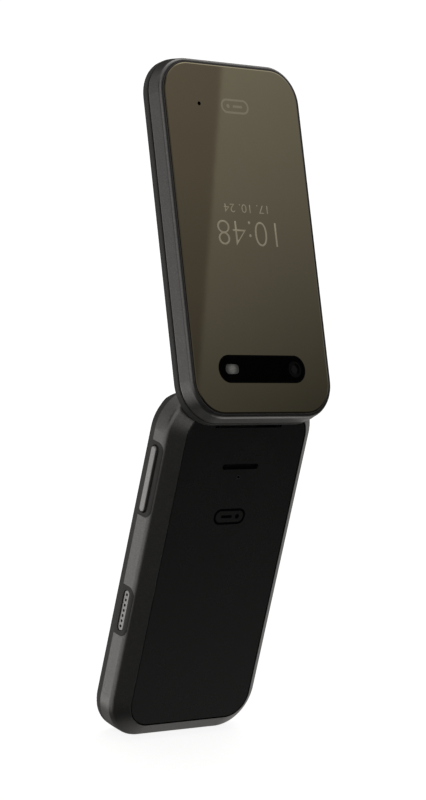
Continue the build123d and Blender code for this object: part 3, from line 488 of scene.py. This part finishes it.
def battery_wrap():
    """Dark battery wrap with a pale blank label and a coloured stripe."""
    label_half = (14 * MM, None, 19 * MM)
    stripe_half = (16 * MM, None, 1.2 * MM)
    stripe_above = Vector((0, 0, 22 * MM))
    wrap_dark = (0.012, 0.012, 0.014, 1)
    wrap_light = (0.03, 0.03, 0.033, 1)
    paper_dark = (0.55, 0.55, 0.53, 1)
    paper_light = (0.68, 0.68, 0.66, 1)
    stripe_blue = (0.1, 0.3, 0.5, 1)
    material, tree, shader = new_material("battery_wrap", Specular_IOR_Level=0.4)
    place = place_coordinate(tree)
    centre = middle("battery")
    label = box_mask(tree, place, centre, label_half)
    stripe = box_mask(tree, place, centre + stripe_above, stripe_half)
    height = use_group(tree, GRAIN, Size=0.6 * MM)["Height"]
    wrap = add_mix(tree, height, wrap_dark, wrap_light)
    paper = add_mix(tree, height, paper_dark, paper_light)
    labelled = add_mix(tree, label, wrap, paper)
    join(tree, add_mix(tree, stripe, labelled, stripe_blue), shader, "Base Color")
    join(tree, add_range(tree, label, 0.0, 1.0, 0.35, 0.6), shader, "Roughness")
    add_bump(tree, shader, height, depth=10 * MICRON)
    return material


def flash_plastic():
    """Frosted flash window with ring steps round its middle."""
    rings_per_metre = 18000.0
    dull = (0.16, 0.16, 0.155, 1)
    bright = (0.62, 0.62, 0.59, 1)
    spot_radius, spot_edge = 0.4 * MM, 2.1 * MM
    material, tree, shader = new_material("flash_plastic", Specular_IOR_Level=0.5)
    surface = middle("flash_lens") + LID_OUT * 0.4 * MM
    away = add_vector_math(tree, "DISTANCE", place_coordinate(tree), surface).outputs["Value"]
    rings = add_math(tree, "SINE", add_math(tree, "MULTIPLY", away, rings_per_metre))
    spot = add_range(tree, away, spot_radius, spot_edge, 1.0, 0.0, smooth=True)
    cloud = use_group(tree, GRAIN, Size=0.5 * MM)["Height"]
    cloudy = add_math(tree, "MULTIPLY", spot, add_range(tree, cloud, 0.3, 0.7, 0.6, 1.2))
    join(tree, add_mix(tree, cloudy, dull, bright), shader, "Base Color")
    join(tree, add_range(tree, rings, -1.0, 1.0, 0.2, 0.5), shader, "Roughness")
    add_bump(tree, shader, rings, depth=30 * MICRON, strength=0.7)
    return material


def perforated_mesh(name, dark, light, pitch):
    """Fine woven or punched mesh."""
    material, tree, shader = new_material(name, Metallic=0.6)
    scale = 2 * math.pi / pitch
    parts = add_node(tree, "ShaderNodeSeparateXYZ", Vector=place_coordinate(tree))
    waves = []
    for axis in (0, 2):
        turned = add_math(tree, "MULTIPLY", parts.outputs[axis], scale)
        waves.append(add_math(tree, "SINE", turned))
    weave = add_math(tree, "MULTIPLY", waves[0], waves[1])
    height = add_range(tree, weave, -0.3, 0.5, 1.0, 0.0, smooth=True)
    join(tree, add_mix(tree, height, dark, light), shader, "Base Color")
    join(tree, add_range(tree, height, 0.0, 1.0, 0.7, 0.4), shader, "Roughness")
    add_bump(tree, shader, height, depth=60 * MICRON)
    return material


finishes = {
    "satin_grey": satin_paint(
        "anthracite_paint", grey(0.20, 0.015), grey(0.29, 0.015), metal=0.92, smooth=0.26, rough=0.32
    ),
    "satin_light": satin_paint(
        "silver_grey_paint", grey(0.41, 0.01), grey(0.54, 0.01), metal=0.9, smooth=0.30, rough=0.38
    ),
    "key_satin": satin_paint(
        "ring_paint", grey(0.30, 0.01), grey(0.42, 0.01), metal=0.8, smooth=0.28, rough=0.36
    ),
    "housing_grey": moulded_plastic(
        "front_housing_plastic", grey(0.060, 0.02), grey(0.092, 0.02), smooth=0.36, rough=0.48
    ),
    "key_black": moulded_plastic(
        "key_plastic",
        grey(0.018),
        grey(0.030),
        smooth=0.32,
        rough=0.46,
        grain=0.25 * MM,
        depth=4 * MICRON,
    ),
    "module_black": moulded_plastic(
        "module_plastic", grey(0.012), grey(0.022), smooth=0.3, rough=0.5
    ),
    "contact_block": moulded_plastic(
        "contact_plastic", grey(0.016), grey(0.03), smooth=0.4, rough=0.6
    ),
    "rubber_dark": moulded_plastic(
        "dark_rubber",
        grey(0.018),
        grey(0.032),
        smooth=0.65,
        rough=0.85,
        depth=10 * MICRON,
        specular=0.25,
    ),
    "film_amber": moulded_plastic(
        "dome_film", (0.5, 0.48, 0.42, 1), (0.66, 0.64, 0.58, 1), smooth=0.3, rough=0.5
    ),
    "gloss_black": polished_plastic(
        "black_panel", grey(0.0100), grey(0.0130), smooth=0.24, rough=0.36, specular=0.45
    ),
    "display_black": polished_plastic(
        "display_panel", grey(0.006), grey(0.011), smooth=0.12, rough=0.3
    ),
    "mirror_bronze": bronze_mirror(),
    "display_glass": screen_glass(),
    "board_green": circuit_board(),
    "battery_label": battery_wrap(),
    "flash_clear": flash_plastic(),
    "steel": brushed_metal("bright_steel", grey(0.42), grey(0.62), smooth=0.22, rough=0.38),
    "magnesium": brushed_metal(
        "cast_magnesium", grey(0.28), grey(0.42), smooth=0.4, rough=0.6, stretch=(1, 1, 2)
    ),
    "lens_trim": brushed_metal("dark_lens_ring", grey(0.02), grey(0.05), smooth=0.25, rough=0.4),
}
window_black = polished_plastic(
    "window_black", grey(0.0002), grey(0.0004), smooth=0.05, rough=0.14, specular=0.06
)
grille_mesh = perforated_mesh("earpiece_mesh", grey(0.01), grey(0.25), pitch=0.3 * MM)
speaker_cloth = perforated_mesh("speaker_cloth", grey(0.0004), grey(0.0025), pitch=0.4 * MM)
lens_glass = polished_plastic(
    "lens_glass",
    (0.004, 0.004, 0.007, 1),
    (0.007, 0.006, 0.01, 1),
    smooth=0.03,
    rough=0.08,
    specular=0.6,
)
rim_metal = brushed_metal("dark_rim", grey(0.10), grey(0.22), smooth=0.25, rough=0.4)
gold_plate = brushed_metal(
    "gold_plate", (0.75, 0.52, 0.2, 1), (0.9, 0.68, 0.3, 1), smooth=0.2, rough=0.35
)
white_ink = ink("white_ink", grey(0.62, 0.01), grey(0.74, 0.01))
green_ink = ink("green_ink", (0.06, 0.42, 0.12, 1), (0.09, 0.55, 0.17, 1))
red_ink = ink("red_ink", (0.6, 0.04, 0.03, 1), (0.72, 0.07, 0.05, 1))
lit_ink = ink("lit_segments", (0.20, 0.175, 0.125, 1), (0.23, 0.205, 0.15, 1), glow=0.75)
# the etched bronze mark is given glow: a painted glow, since an etched print gives no light of its
# own
painted_glow_bronze_ink = ink("etched_bronze_painted_glow", (0.11, 0.098, 0.07, 1), (0.13, 0.115, 0.085, 1), glow=1.2)
gloss_ink = polished_plastic(
    "gloss_black_mark", grey(0.0002), grey(0.0006), smooth=0.5, rough=0.6, specular=0.03
)

# every CAD part takes the finish of its slot in the record; two take a finish of their own
for subpart in frame["record"]["subparts"]:
    piece = frame["nodes"][subpart["node"]]
    finish = finishes[subpart["material_slot"]]
    for slot in piece.material_slots:
        slot.material = finish
    if not piece.material_slots:
        piece.data.materials.append(finish)
for name, finish in (("camera_window", window_black), ("earpiece_grille", grille_mesh)):
    for slot in frame["nodes"][name].material_slots:
        slot.material = finish


# ---- helpers for new pieces ----


def deselect():
    """Clear the selection."""
    for item in list(bpy.context.selected_objects):
        item.select_set(False)


def make_active(item):
    """Select one object alone and make it the active one."""
    deselect()
    item.select_set(True)
    bpy.context.view_layer.objects.active = item


def edit_all():
    """Go into edit mode with everything selected."""
    bpy.ops.object.mode_set(mode="EDIT")
    bpy.ops.mesh.select_all(action="SELECT")


def settle(item, name, matrix, material, body):
    """Put a finished piece in its place, give it its finish and let it ride on its body."""
    make_active(item)
    item.name = name
    item.data.name = name
    item.matrix_world = matrix
    bpy.ops.object.transform_apply(location=True, rotation=True, scale=True)
    item.data.materials.clear()
    item.data.materials.append(material)
    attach(item, body)


def apply_modifiers(item):
    """Apply every modifier of a piece, in order."""
    make_active(item)
    for modifier in list(item.modifiers):
        bpy.ops.object.modifier_apply(modifier=modifier.name)


def thicken(item, thickness, bevel):
    """Give a flat face a thickness upwards and soft upper edges."""
    solid = item.modifiers.new("thickness", "SOLIDIFY")
    solid.thickness = thickness
    solid.offset = 1.0
    if bevel:
        edge = item.modifiers.new("soft_edge", "BEVEL")
        edge.width = bevel
        edge.segments = 2
        edge.limit_method = "ANGLE"
    apply_modifiers(item)


def flat_text(words, height, weight=0.0):
    """Raised lettering drawn flat about its middle, as a mesh with the given capital height."""
    deselect()
    bpy.ops.object.text_add()
    item = bpy.context.object
    item.data.body = words
    item.data.align_x = "CENTER"
    item.data.align_y = "CENTER"
    item.data.offset = weight
    item.data.resolution_u = 6
    bpy.ops.object.convert(target="MESH")
    item = bpy.context.object
    lows = [min(v.co[k] for v in item.data.vertices) for k in (0, 1)]
    highs = [max(v.co[k] for v in item.data.vertices) for k in (0, 1)]
    size = height / (highs[1] - lows[1])
    centre = Vector(((lows[0] + highs[0]) / 2, (lows[1] + highs[1]) / 2, 0))
    item.data.transform(Matrix.Scale(size, 4) @ Matrix.Translation(-centre))
    return item


def stretch_flat(item, width):
    """Scale a flat piece across so that it is as wide as asked."""
    low = min(v.co.x for v in item.data.vertices)
    high = max(v.co.x for v in item.data.vertices)
    item.data.transform(Matrix.Scale(width / (high - low), 4, (1, 0, 0)))


CORNER_STEPS = 8
DISC_STEPS = 48


def rounded_plate(width, height, corner, steps=CORNER_STEPS):
    """Flat rounded rectangle about the origin, made from a plane with bevelled corners."""
    deselect()
    bpy.ops.mesh.primitive_plane_add(size=1)
    item = bpy.context.object
    item.data.transform(Matrix.Diagonal((width, height, 1, 1)))
    edit_all()
    bpy.ops.mesh.bevel(offset=corner, segments=steps, affect="VERTICES")
    bpy.ops.object.mode_set(mode="OBJECT")
    return item


def frame_line(width, height, corner, line, steps=CORNER_STEPS):
    """Flat outline of a rounded rectangle: a plate inset by the line's width and opened."""
    item = rounded_plate(width, height, corner, steps)
    bpy.ops.object.mode_set(mode="EDIT")
    bpy.ops.mesh.select_mode(type="FACE")
    bpy.ops.mesh.select_all(action="SELECT")
    bpy.ops.mesh.inset(thickness=line)
    bpy.ops.mesh.delete(type="FACE")
    bpy.ops.object.mode_set(mode="OBJECT")
    return item


def flat_disc(radius, hole=0.0):
    """Flat disc or ring about the origin."""
    deselect()
    bpy.ops.mesh.primitive_circle_add(vertices=DISC_STEPS, radius=radius, fill_type="NGON")
    item = bpy.context.object
    if hole:
        edit_all()
        bpy.ops.mesh.inset(thickness=radius - hole)
        bpy.ops.mesh.delete(type="FACE")
        bpy.ops.object.mode_set(mode="OBJECT")
    return item


def join_pieces(items):
    """Join pieces into the first one."""
    make_active(items[0])
    for item in items[1:]:
        item.select_set(True)
    bpy.ops.object.join()
    return bpy.context.object


def shift(item, x, y, turn=0.0):
    """Turn a flat piece and move it in its own plane."""
    item.data.transform(Matrix.Translation((x, y, 0)) @ Matrix.Rotation(turn, 4, "Z"))
    return item


# ---- marks on the lid's cover glass and on the back panel ----

FILM = 0.03 * MM
CLOCK_HEIGHT, CLOCK_WIDTH, CLOCK_WEIGHT = 7.3 * MM, 22.4 * MM, -0.022
DATE_HEIGHT, DATE_WIDTH, DATE_WEIGHT = 2.5 * MM, 16.6 * MM, -0.010
CLOCK_PLACE = (-0.1 * MM, 55.2 * MM)
DATE_PLACE = (-0.5 * MM, 62.6 * MM)
LID_MARK_PLACE = (-0.6 * MM, 93.3 * MM)
BACK_MARK_PLACE = (0.2 * MM, 70.5 * MM)
BACK_MARK_SCALE = 1.12


def generic_mark(scale):
    """Plain mark: a rounded outline with a short bar and a dot."""
    outline = frame_line(10.5 * scale, 4.4 * scale, 2.15 * scale, 0.62 * scale)
    bar = shift(rounded_plate(3.6 * scale, 0.75 * scale, 0.3 * scale), -1.0 * scale, 0)
    dot = shift(flat_disc(0.62 * scale), 2.6 * scale, 0)
    return join_pieces([outline, bar, dot])


def on_lid_glass(item, name, spot, material):
    """Lay a flat piece on the outer glass, to be read with the hinge upwards."""
    thicken(item, FILM, 0)
    across, along = spot
    place = axes(lid_point(across, along, GLASS_FACE), SIDE, -LID_ALONG)
    settle(item, name, place, material, "lid")


def add_lid_marks():
    """Clock, date and mark on the outer glass."""
    clock = flat_text("10:48", CLOCK_HEIGHT, CLOCK_WEIGHT)
    stretch_flat(clock, CLOCK_WIDTH)
    on_lid_glass(clock, "clock_numerals", CLOCK_PLACE, lit_ink)
    date = flat_text("17. 10. 24", DATE_HEIGHT, DATE_WEIGHT)
    stretch_flat(date, DATE_WIDTH)
    on_lid_glass(date, "date_numerals", DATE_PLACE, lit_ink)
    # the lid mark is drawn in the bronze ink that carries a painted glow
    on_lid_glass(generic_mark(MM), "lid_mark", LID_MARK_PLACE, painted_glow_bronze_ink)


def add_back_mark():
    """Gloss mark on the back panel."""
    mark = generic_mark(BACK_MARK_SCALE * MM)
    thicken(mark, FILM, 0)
    across, height = BACK_MARK_PLACE
    origin = Vector((across, PANEL_FACE, height))
    settle(mark, "back_mark", axes(origin, -SIDE, UP), gloss_ink, "base")


# ---- camera window: lens glass, rings and inner line ----

LENS_RADIUS = 1.64 * MM
LENS_DEPTH = 0.32 * MM
LENS_CUT = 0.75
LENS_FLATNESS = 0.3
LENS_SMOOTH_ANGLE = math.radians(40)
LENS_RINGS = ((1.68 * MM, 1.5 * MM), (1.32 * MM, 1.2 * MM))
LENS_RING_DEPTH = 0.20 * MM
LENS_RING_THICKNESS = 0.06 * MM
RING_EDGE = 0.015 * MM
WINDOW_LINE = {"width": 32.5 * MM, "height": 7.8 * MM, "corner": 3.88 * MM, "line": 0.16 * MM}
WINDOW_LINE_STEPS = 16
WINDOW_LINE_THICKNESS = 0.025 * MM


def lid_distance(point):
    """How far a point is from the hinge end of the lid, along the lid."""
    return (point - HINGE).dot(LID_ALONG) - LID_END


def dome(radius):
    """Low lens: the top of a sphere, cut off and flattened."""
    deselect()
    bpy.ops.mesh.primitive_uv_sphere_add(segments=48, ring_count=24, radius=1.0)
    lens = bpy.context.object
    edit_all()
    bpy.ops.mesh.bisect(
        plane_co=(0, 0, LENS_CUT), plane_no=(0, 0, 1), clear_inner=True, use_fill=True
    )
    bpy.ops.object.mode_set(mode="OBJECT")
    size = radius / math.sqrt(1 - LENS_CUT**2)
    flat = Matrix.Diagonal((size, size, LENS_FLATNESS * size, 1))
    lens.data.transform(flat @ Matrix.Translation((0, 0, -LENS_CUT)))
    bpy.ops.object.shade_smooth_by_angle(angle=LENS_SMOOTH_ANGLE)
    return lens


def add_camera_details():
    """Domed lens glass, stepped rings over it, and a fine line inside the window's edge."""
    centre = middle("lens_surround")
    along = lid_distance(centre)
    face = reach("lens_surround", LID_OUT)
    trim = finishes["lens_trim"]
    place = axes(lid_point(centre.x, along, face - LENS_DEPTH), SIDE, LID_ALONG)
    settle(dome(LENS_RADIUS), "camera_lens", place, lens_glass, "lid")
    rings = join_pieces([flat_disc(radius, hole) for radius, hole in LENS_RINGS])
    thicken(rings, LENS_RING_THICKNESS, RING_EDGE)
    place = axes(lid_point(centre.x, along, face - LENS_RING_DEPTH), SIDE, LID_ALONG)
    settle(rings, "lens_rings", place, trim, "lid")
    along = lid_distance(middle("camera_window"))
    line = frame_line(**WINDOW_LINE, steps=WINDOW_LINE_STEPS)
    thicken(line, WINDOW_LINE_THICKNESS, 0)
    place = axes(lid_point(0, along, WINDOW_FACE), SIDE, LID_ALONG)
    settle(line, "window_edge_line", place, trim, "lid")


# ---- key legends ----

LEGEND = 0.03 * MM
NUMERAL_HEIGHT, STAR_HEIGHT, NUMERAL_WEIGHT = 4.3 * MM, 2.4 * MM, -0.004
HANDSET_OUTER, HANDSET_INNER, HANDSET_CUT = 3.4 * MM, 2.4 * MM, 1.2 * MM
HANDSET_PAD = (2.0 * MM, 1.3 * MM, 0.4 * MM)
HANDSET_PAD_PLACE = (2.6 * MM, 0.9 * MM)
CALL_TILT = math.radians(45)
SOFT_KEY_BAR = (4.6 * MM, 0.7 * MM, 0.3 * MM)
ARROW_SIZE, ARROW_DISTANCE = 1.0 * MM, 9.0 * MM
OK_RING = (1.5 * MM, 1.1 * MM)
GUIDE_BAR = (1.6 * MM, 0.5 * MM, 0.24 * MM)
GUIDE_DISTANCE = 5.6 * MM
GUIDE_HEIGHT, GUIDE_EDGE = 0.22 * MM, 0.08 * MM


def key_place(node):
    """Place at the middle of a key's outer face."""
    low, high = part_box(node)
    origin = Vector(((low.x + high.x) / 2, low.y, (low.z + high.z) / 2))
    return axes(origin, SIDE, UP)


def on_key(item, node, name, material=None):
    """Raise a flat legend slightly and fix it to the middle of its key."""
    thicken(item, LEGEND, 0)
    body = frame["nodes"][node]["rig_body"]
    settle(item, name, key_place(node), material or white_ink, body)


def handset(turn):
    """Handset outline: an arc of a ring with a pad at each end."""
    ring = flat_disc(HANDSET_OUTER, HANDSET_INNER)
    edit_all()
    bpy.ops.mesh.bisect(plane_co=(0, HANDSET_CUT, 0), plane_no=(0, 1, 0), clear_inner=True)
    bpy.ops.object.mode_set(mode="OBJECT")
    pad_x, pad_y = HANDSET_PAD_PLACE
    ends = [shift(rounded_plate(*HANDSET_PAD), side * pad_x, pad_y) for side in (-1, 1)]
    item = join_pieces([ring] + ends)
    shift(item, 0, 0, turn)
    low = min(v.co.y for v in item.data.vertices)
    high = max(v.co.y for v in item.data.vertices)
    return shift(item, 0, -(low + high) / 2)


def add_legends():
    """Numerals and plain symbols on the keys."""
    numerals = [str(number) for number in range(10)] + ["*", "#"]
    nodes = [f"key_{number}" for number in range(10)] + ["key_star", "key_hash"]
    for numeral, node in zip(numerals, nodes):
        height = STAR_HEIGHT if numeral == "*" else NUMERAL_HEIGHT
        on_key(flat_text(numeral, height, NUMERAL_WEIGHT), node, node + "_legend")
    on_key(handset(CALL_TILT), "key_call", "call_symbol", green_ink)
    on_key(handset(0.0), "key_end", "end_symbol", red_ink)
    for node in ("key_soft_left", "key_soft_right"):
        on_key(rounded_plate(*SOFT_KEY_BAR), node, node + "_symbol")
    arrows = []
    for step in range(4):
        deselect()
        bpy.ops.mesh.primitive_circle_add(vertices=3, radius=ARROW_SIZE, fill_type="NGON")
        arrow = shift(bpy.context.object, 0, ARROW_DISTANCE)
        arrows.append(shift(arrow, 0, 0, step * math.pi / 2))
    on_key(join_pieces(arrows), "nav_ring", "nav_arrows")
    on_key(flat_disc(*OK_RING), "key_ok", "ok_symbol")


def add_guide_bumps():
    """Two short raised bars on the middle key, felt by the thumb."""
    bars = [shift(rounded_plate(*GUIDE_BAR), side * GUIDE_DISTANCE, 0) for side in (-1, 1)]
    item = join_pieces(bars)
    thicken(item, GUIDE_HEIGHT, GUIDE_EDGE)
    plastic = finishes["key_black"]
    settle(item, "key_5_guides", key_place("key_5"), plastic, "key_5")


# ---- openings and sockets ----

CLOTH = (13.4 * MM, 1.5 * MM, 0.72 * MM)
CLOTH_THICKNESS, CLOTH_DEPTH = 0.05 * MM, 0.75 * MM
MICROPHONE_RIM = (0.62 * MM, 0.47 * MM)
MICROPHONE_HEIGHT = 82.83 * MM
RIM_THICKNESS = 0.05 * MM
CONTACT = (0.24 * MM, 3.6 * MM, 0.05 * MM)
CONTACT_CORNER_STEPS = 2
CONTACT_COUNT, CONTACT_PITCH = 12, 0.5 * MM
CONTACT_THICKNESS = 0.03 * MM
TONGUE_HALF, TONGUE_HEIGHT = 0.35 * MM, 2.9 * MM
JACK_RING = (1.95 * MM, 1.76 * MM)
JACK_RING_THICKNESS, JACK_RING_EDGE = 0.25 * MM, 0.05 * MM


def add_speaker_cloth():
    """Cloth behind the loudspeaker slot."""
    cloth = rounded_plate(*CLOTH)
    thicken(cloth, CLOTH_THICKNESS, 0)
    origin = Vector((0, PANEL_FACE - CLOTH_DEPTH, middle("loudspeaker").z))
    settle(cloth, "speaker_cloth", axes(origin, -SIDE, UP), speaker_cloth, "base")


def add_microphone_rim():
    """Thin metal rim round the microphone hole in the back panel."""
    rim = flat_disc(*MICROPHONE_RIM)
    thicken(rim, RIM_THICKNESS, RING_EDGE)
    origin = Vector((middle("back_panel").x, PANEL_FACE, MICROPHONE_HEIGHT))
    settle(rim, "microphone_rim", axes(origin, -SIDE, UP), rim_metal, "base")


def add_socket_contacts():
    """Gold contacts on both faces of the charging socket's tongue."""
    low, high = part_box("usb_socket")
    tongue_y = (low.y + high.y) / 2
    for face, side in (("front", -1), ("back", 1)):
        strips = []
        for index in range(CONTACT_COUNT):
            strip = rounded_plate(*CONTACT, CONTACT_CORNER_STEPS)
            strips.append(shift(strip, (index - (CONTACT_COUNT - 1) / 2) * CONTACT_PITCH, 0))
        item = join_pieces(strips)
        thicken(item, CONTACT_THICKNESS, 0)
        origin = Vector((0, tongue_y + side * TONGUE_HALF, low.z + TONGUE_HEIGHT))
        place = axes(origin, -side * SIDE, UP)
        settle(item, f"socket_contacts_{face}", place, gold_plate, "base")


def add_jack_ring():
    """Bright ring inside the mouth of the audio jack."""
    low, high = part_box("audio_jack")
    ring = flat_disc(*JACK_RING)
    thicken(ring, JACK_RING_THICKNESS, JACK_RING_EDGE)
    origin = Vector((low.x, (low.y + high.y) / 2, (low.z + high.z) / 2))
    settle(ring, "jack_ring", axes(origin, BACK, -UP), gold_plate, "base")


# ---- floor, light and surroundings ----

FLOOR_SIZE = 8.0
FLOOR_DARK = (0.52, 0.52, 0.515, 1)
FLOOR_LIGHT = (0.54, 0.54, 0.54, 1)
FLOOR_GLOW = 0.88
WHITE = (1, 1, 1, 1)
SKY_TINT = (1.0, 0.985, 0.96, 1)
SKY_AMBIENT = 0.016
# soft patches of light: direction, half angle where it ends, half angle of full light, strength
SKY_PATCHES = (
    ((0.62, -0.76, -0.10), 50, 15, 0.30),
    ((0.58, -0.70, -0.46), 18, 4, 0.62),
    ((0.93, 0.02, -0.36), 40, 8, 0.42),
    ((0.05, -0.93, -0.35), 35, 10, 0.55),
    ((0.74, 0.46, 0.49), 38, 12, 0.46),
    ((0.15, -0.25, 0.95), 50, 15, 0.42),
    ((-0.62, -0.28, 0.73), 36, 10, 0.60),
    ((-0.63, 0.45, -0.62), 30, 8, 0.33),
    ((-0.65, 0.30, -0.70), 25, 8, 0.34),
    ((-0.86, -0.45, -0.25), 42, 15, 0.32),
    ((-0.30, -0.10, -0.95), 50, 15, 0.14),
    ((0.23, 0.79, 0.565), 30, 10, 0.09),
)
# card reflected by the lid's glass: brighter upwards, darker and browner past a straight edge
CARD_PATCH = ((-0.64, 0.57, 0.515), 16, 11, 1.0)
CARD_EDGE_NORMAL = (0.77542, 0.45139, 0.44156)
CARD_EDGE_SOFTNESS = 0.0012
CARD_SHADED = 0.60
CARD_FOOT, CARD_TOP = 0.44, 0.60
CARD_DIM, CARD_BRIGHT = 0.042, 0.362
CARD_BROWN = (1.03, 0.955, 0.915, 1)
SOFTBOX_PLACE, SOFTBOX_TARGET = (-0.35, -0.6, 1.2), (0, 0, 0.1)
SOFTBOX_SIZE, SOFTBOX_POWER = (0.9, 0.9), 1.5


def add_floor():
    """Plain pale floor that fades into the white backdrop."""
    deselect()
    bpy.ops.mesh.primitive_plane_add(size=FLOOR_SIZE)
    floor = bpy.context.object
    floor.name = "floor"
    floor.visible_glossy = False
    material, tree, shader = new_material("pale_floor", Roughness=0.9, Specular_IOR_Level=0.1)
    shader.inputs["Emission Color"].default_value = WHITE
    cloud = add_node(
        tree, "ShaderNodeTexNoise", Vector=place_coordinate(tree), Scale=3.0, Detail=2.0
    )
    join(tree, add_mix(tree, cloud.outputs["Fac"], FLOOR_DARK, FLOOR_LIGHT), shader, "Base Color")
    rays = add_node(tree, "ShaderNodeLightPath").outputs["Is Camera Ray"]
    join(tree, add_math(tree, "MULTIPLY", rays, FLOOR_GLOW), shader, "Emission Strength")
    floor.data.materials.append(material)


def sky_patch(tree, towards, direction, half_angle, core, strength):
    """Soft patch of light in the surroundings, round a direction."""
    aim = Vector(direction).normalized()
    facing = add_vector_math(tree, "DOT_PRODUCT", towards, aim).outputs["Value"]
    edge = math.cos(math.radians(half_angle))
    full = math.cos(math.radians(core))
    return add_range(tree, facing, edge, full, 0.0, strength, smooth=True)


def add_surroundings():
    """Dim studio with soft bright patches for reflections; plain white to the camera."""
    world = bpy.data.worlds.new("studio")
    scene.world = world
    world.use_nodes = True
    tree = world.node_tree
    towards = add_node(tree, "ShaderNodeTexCoord").outputs["Generated"]
    height = add_node(tree, "ShaderNodeSeparateXYZ", Vector=towards).outputs["Z"]
    total = SKY_AMBIENT
    for patch in SKY_PATCHES:
        total = add_math(tree, "ADD", total, sky_patch(tree, towards, *patch))
    edge = add_vector_math(tree, "DOT_PRODUCT", towards, CARD_EDGE_NORMAL).outputs["Value"]
    side = add_range(
        tree, edge, -CARD_EDGE_SOFTNESS, CARD_EDGE_SOFTNESS, 1.0, CARD_SHADED, smooth=True
    )
    glow = add_range(tree, height, CARD_FOOT, CARD_TOP, CARD_DIM, CARD_BRIGHT)
    card = add_math(tree, "MULTIPLY", side, glow)
    area = sky_patch(tree, towards, *CARD_PATCH)
    light = add_node(
        tree, "ShaderNodeMix", {"data_type": "FLOAT"}, i0=area, i2=total, i3=card
    ).outputs[0]
    shaded = add_range(tree, side, CARD_SHADED, 1.0, 1.0, 0.0)
    brown = add_math(tree, "MULTIPLY", area, shaded)
    tint = add_mix(tree, brown, SKY_TINT, CARD_BROWN)
    soft = add_node(tree, "ShaderNodeBackground", Color=tint, Strength=light)
    plain_white = add_node(tree, "ShaderNodeBackground", Color=WHITE, Strength=1.0)
    rays = add_node(tree, "ShaderNodeLightPath").outputs["Is Camera Ray"]
    both = add_node(
        tree, "ShaderNodeMixShader", i0=rays, i1=soft.outputs[0], i2=plain_white.outputs[0]
    )
    tree.links.new(both.outputs[0], tree.nodes["World Output"].inputs["Surface"])


def add_softbox():
    """One weak square light, high on the keypad side."""
    data = bpy.data.lights.new("overhead_softbox", "AREA")
    data.shape = "RECTANGLE"
    data.size, data.size_y = SOFTBOX_SIZE
    data.energy = SOFTBOX_POWER
    light = bpy.data.objects.new("overhead_softbox", data)
    light.location = SOFTBOX_PLACE
    direction = Vector(SOFTBOX_TARGET) - Vector(SOFTBOX_PLACE)
    light.rotation_euler = direction.to_track_quat("-Z", "Y").to_euler()
    scene.collection.objects.link(light)


add_camera()
add_floor()
add_surroundings()
add_softbox()
add_lid_marks()
add_back_mark()
add_camera_details()
add_legends()
add_guide_bumps()
add_speaker_cloth()
add_microphone_rim()
add_socket_contacts()
add_jack_ring()
scene.view_settings.view_transform = "Standard"
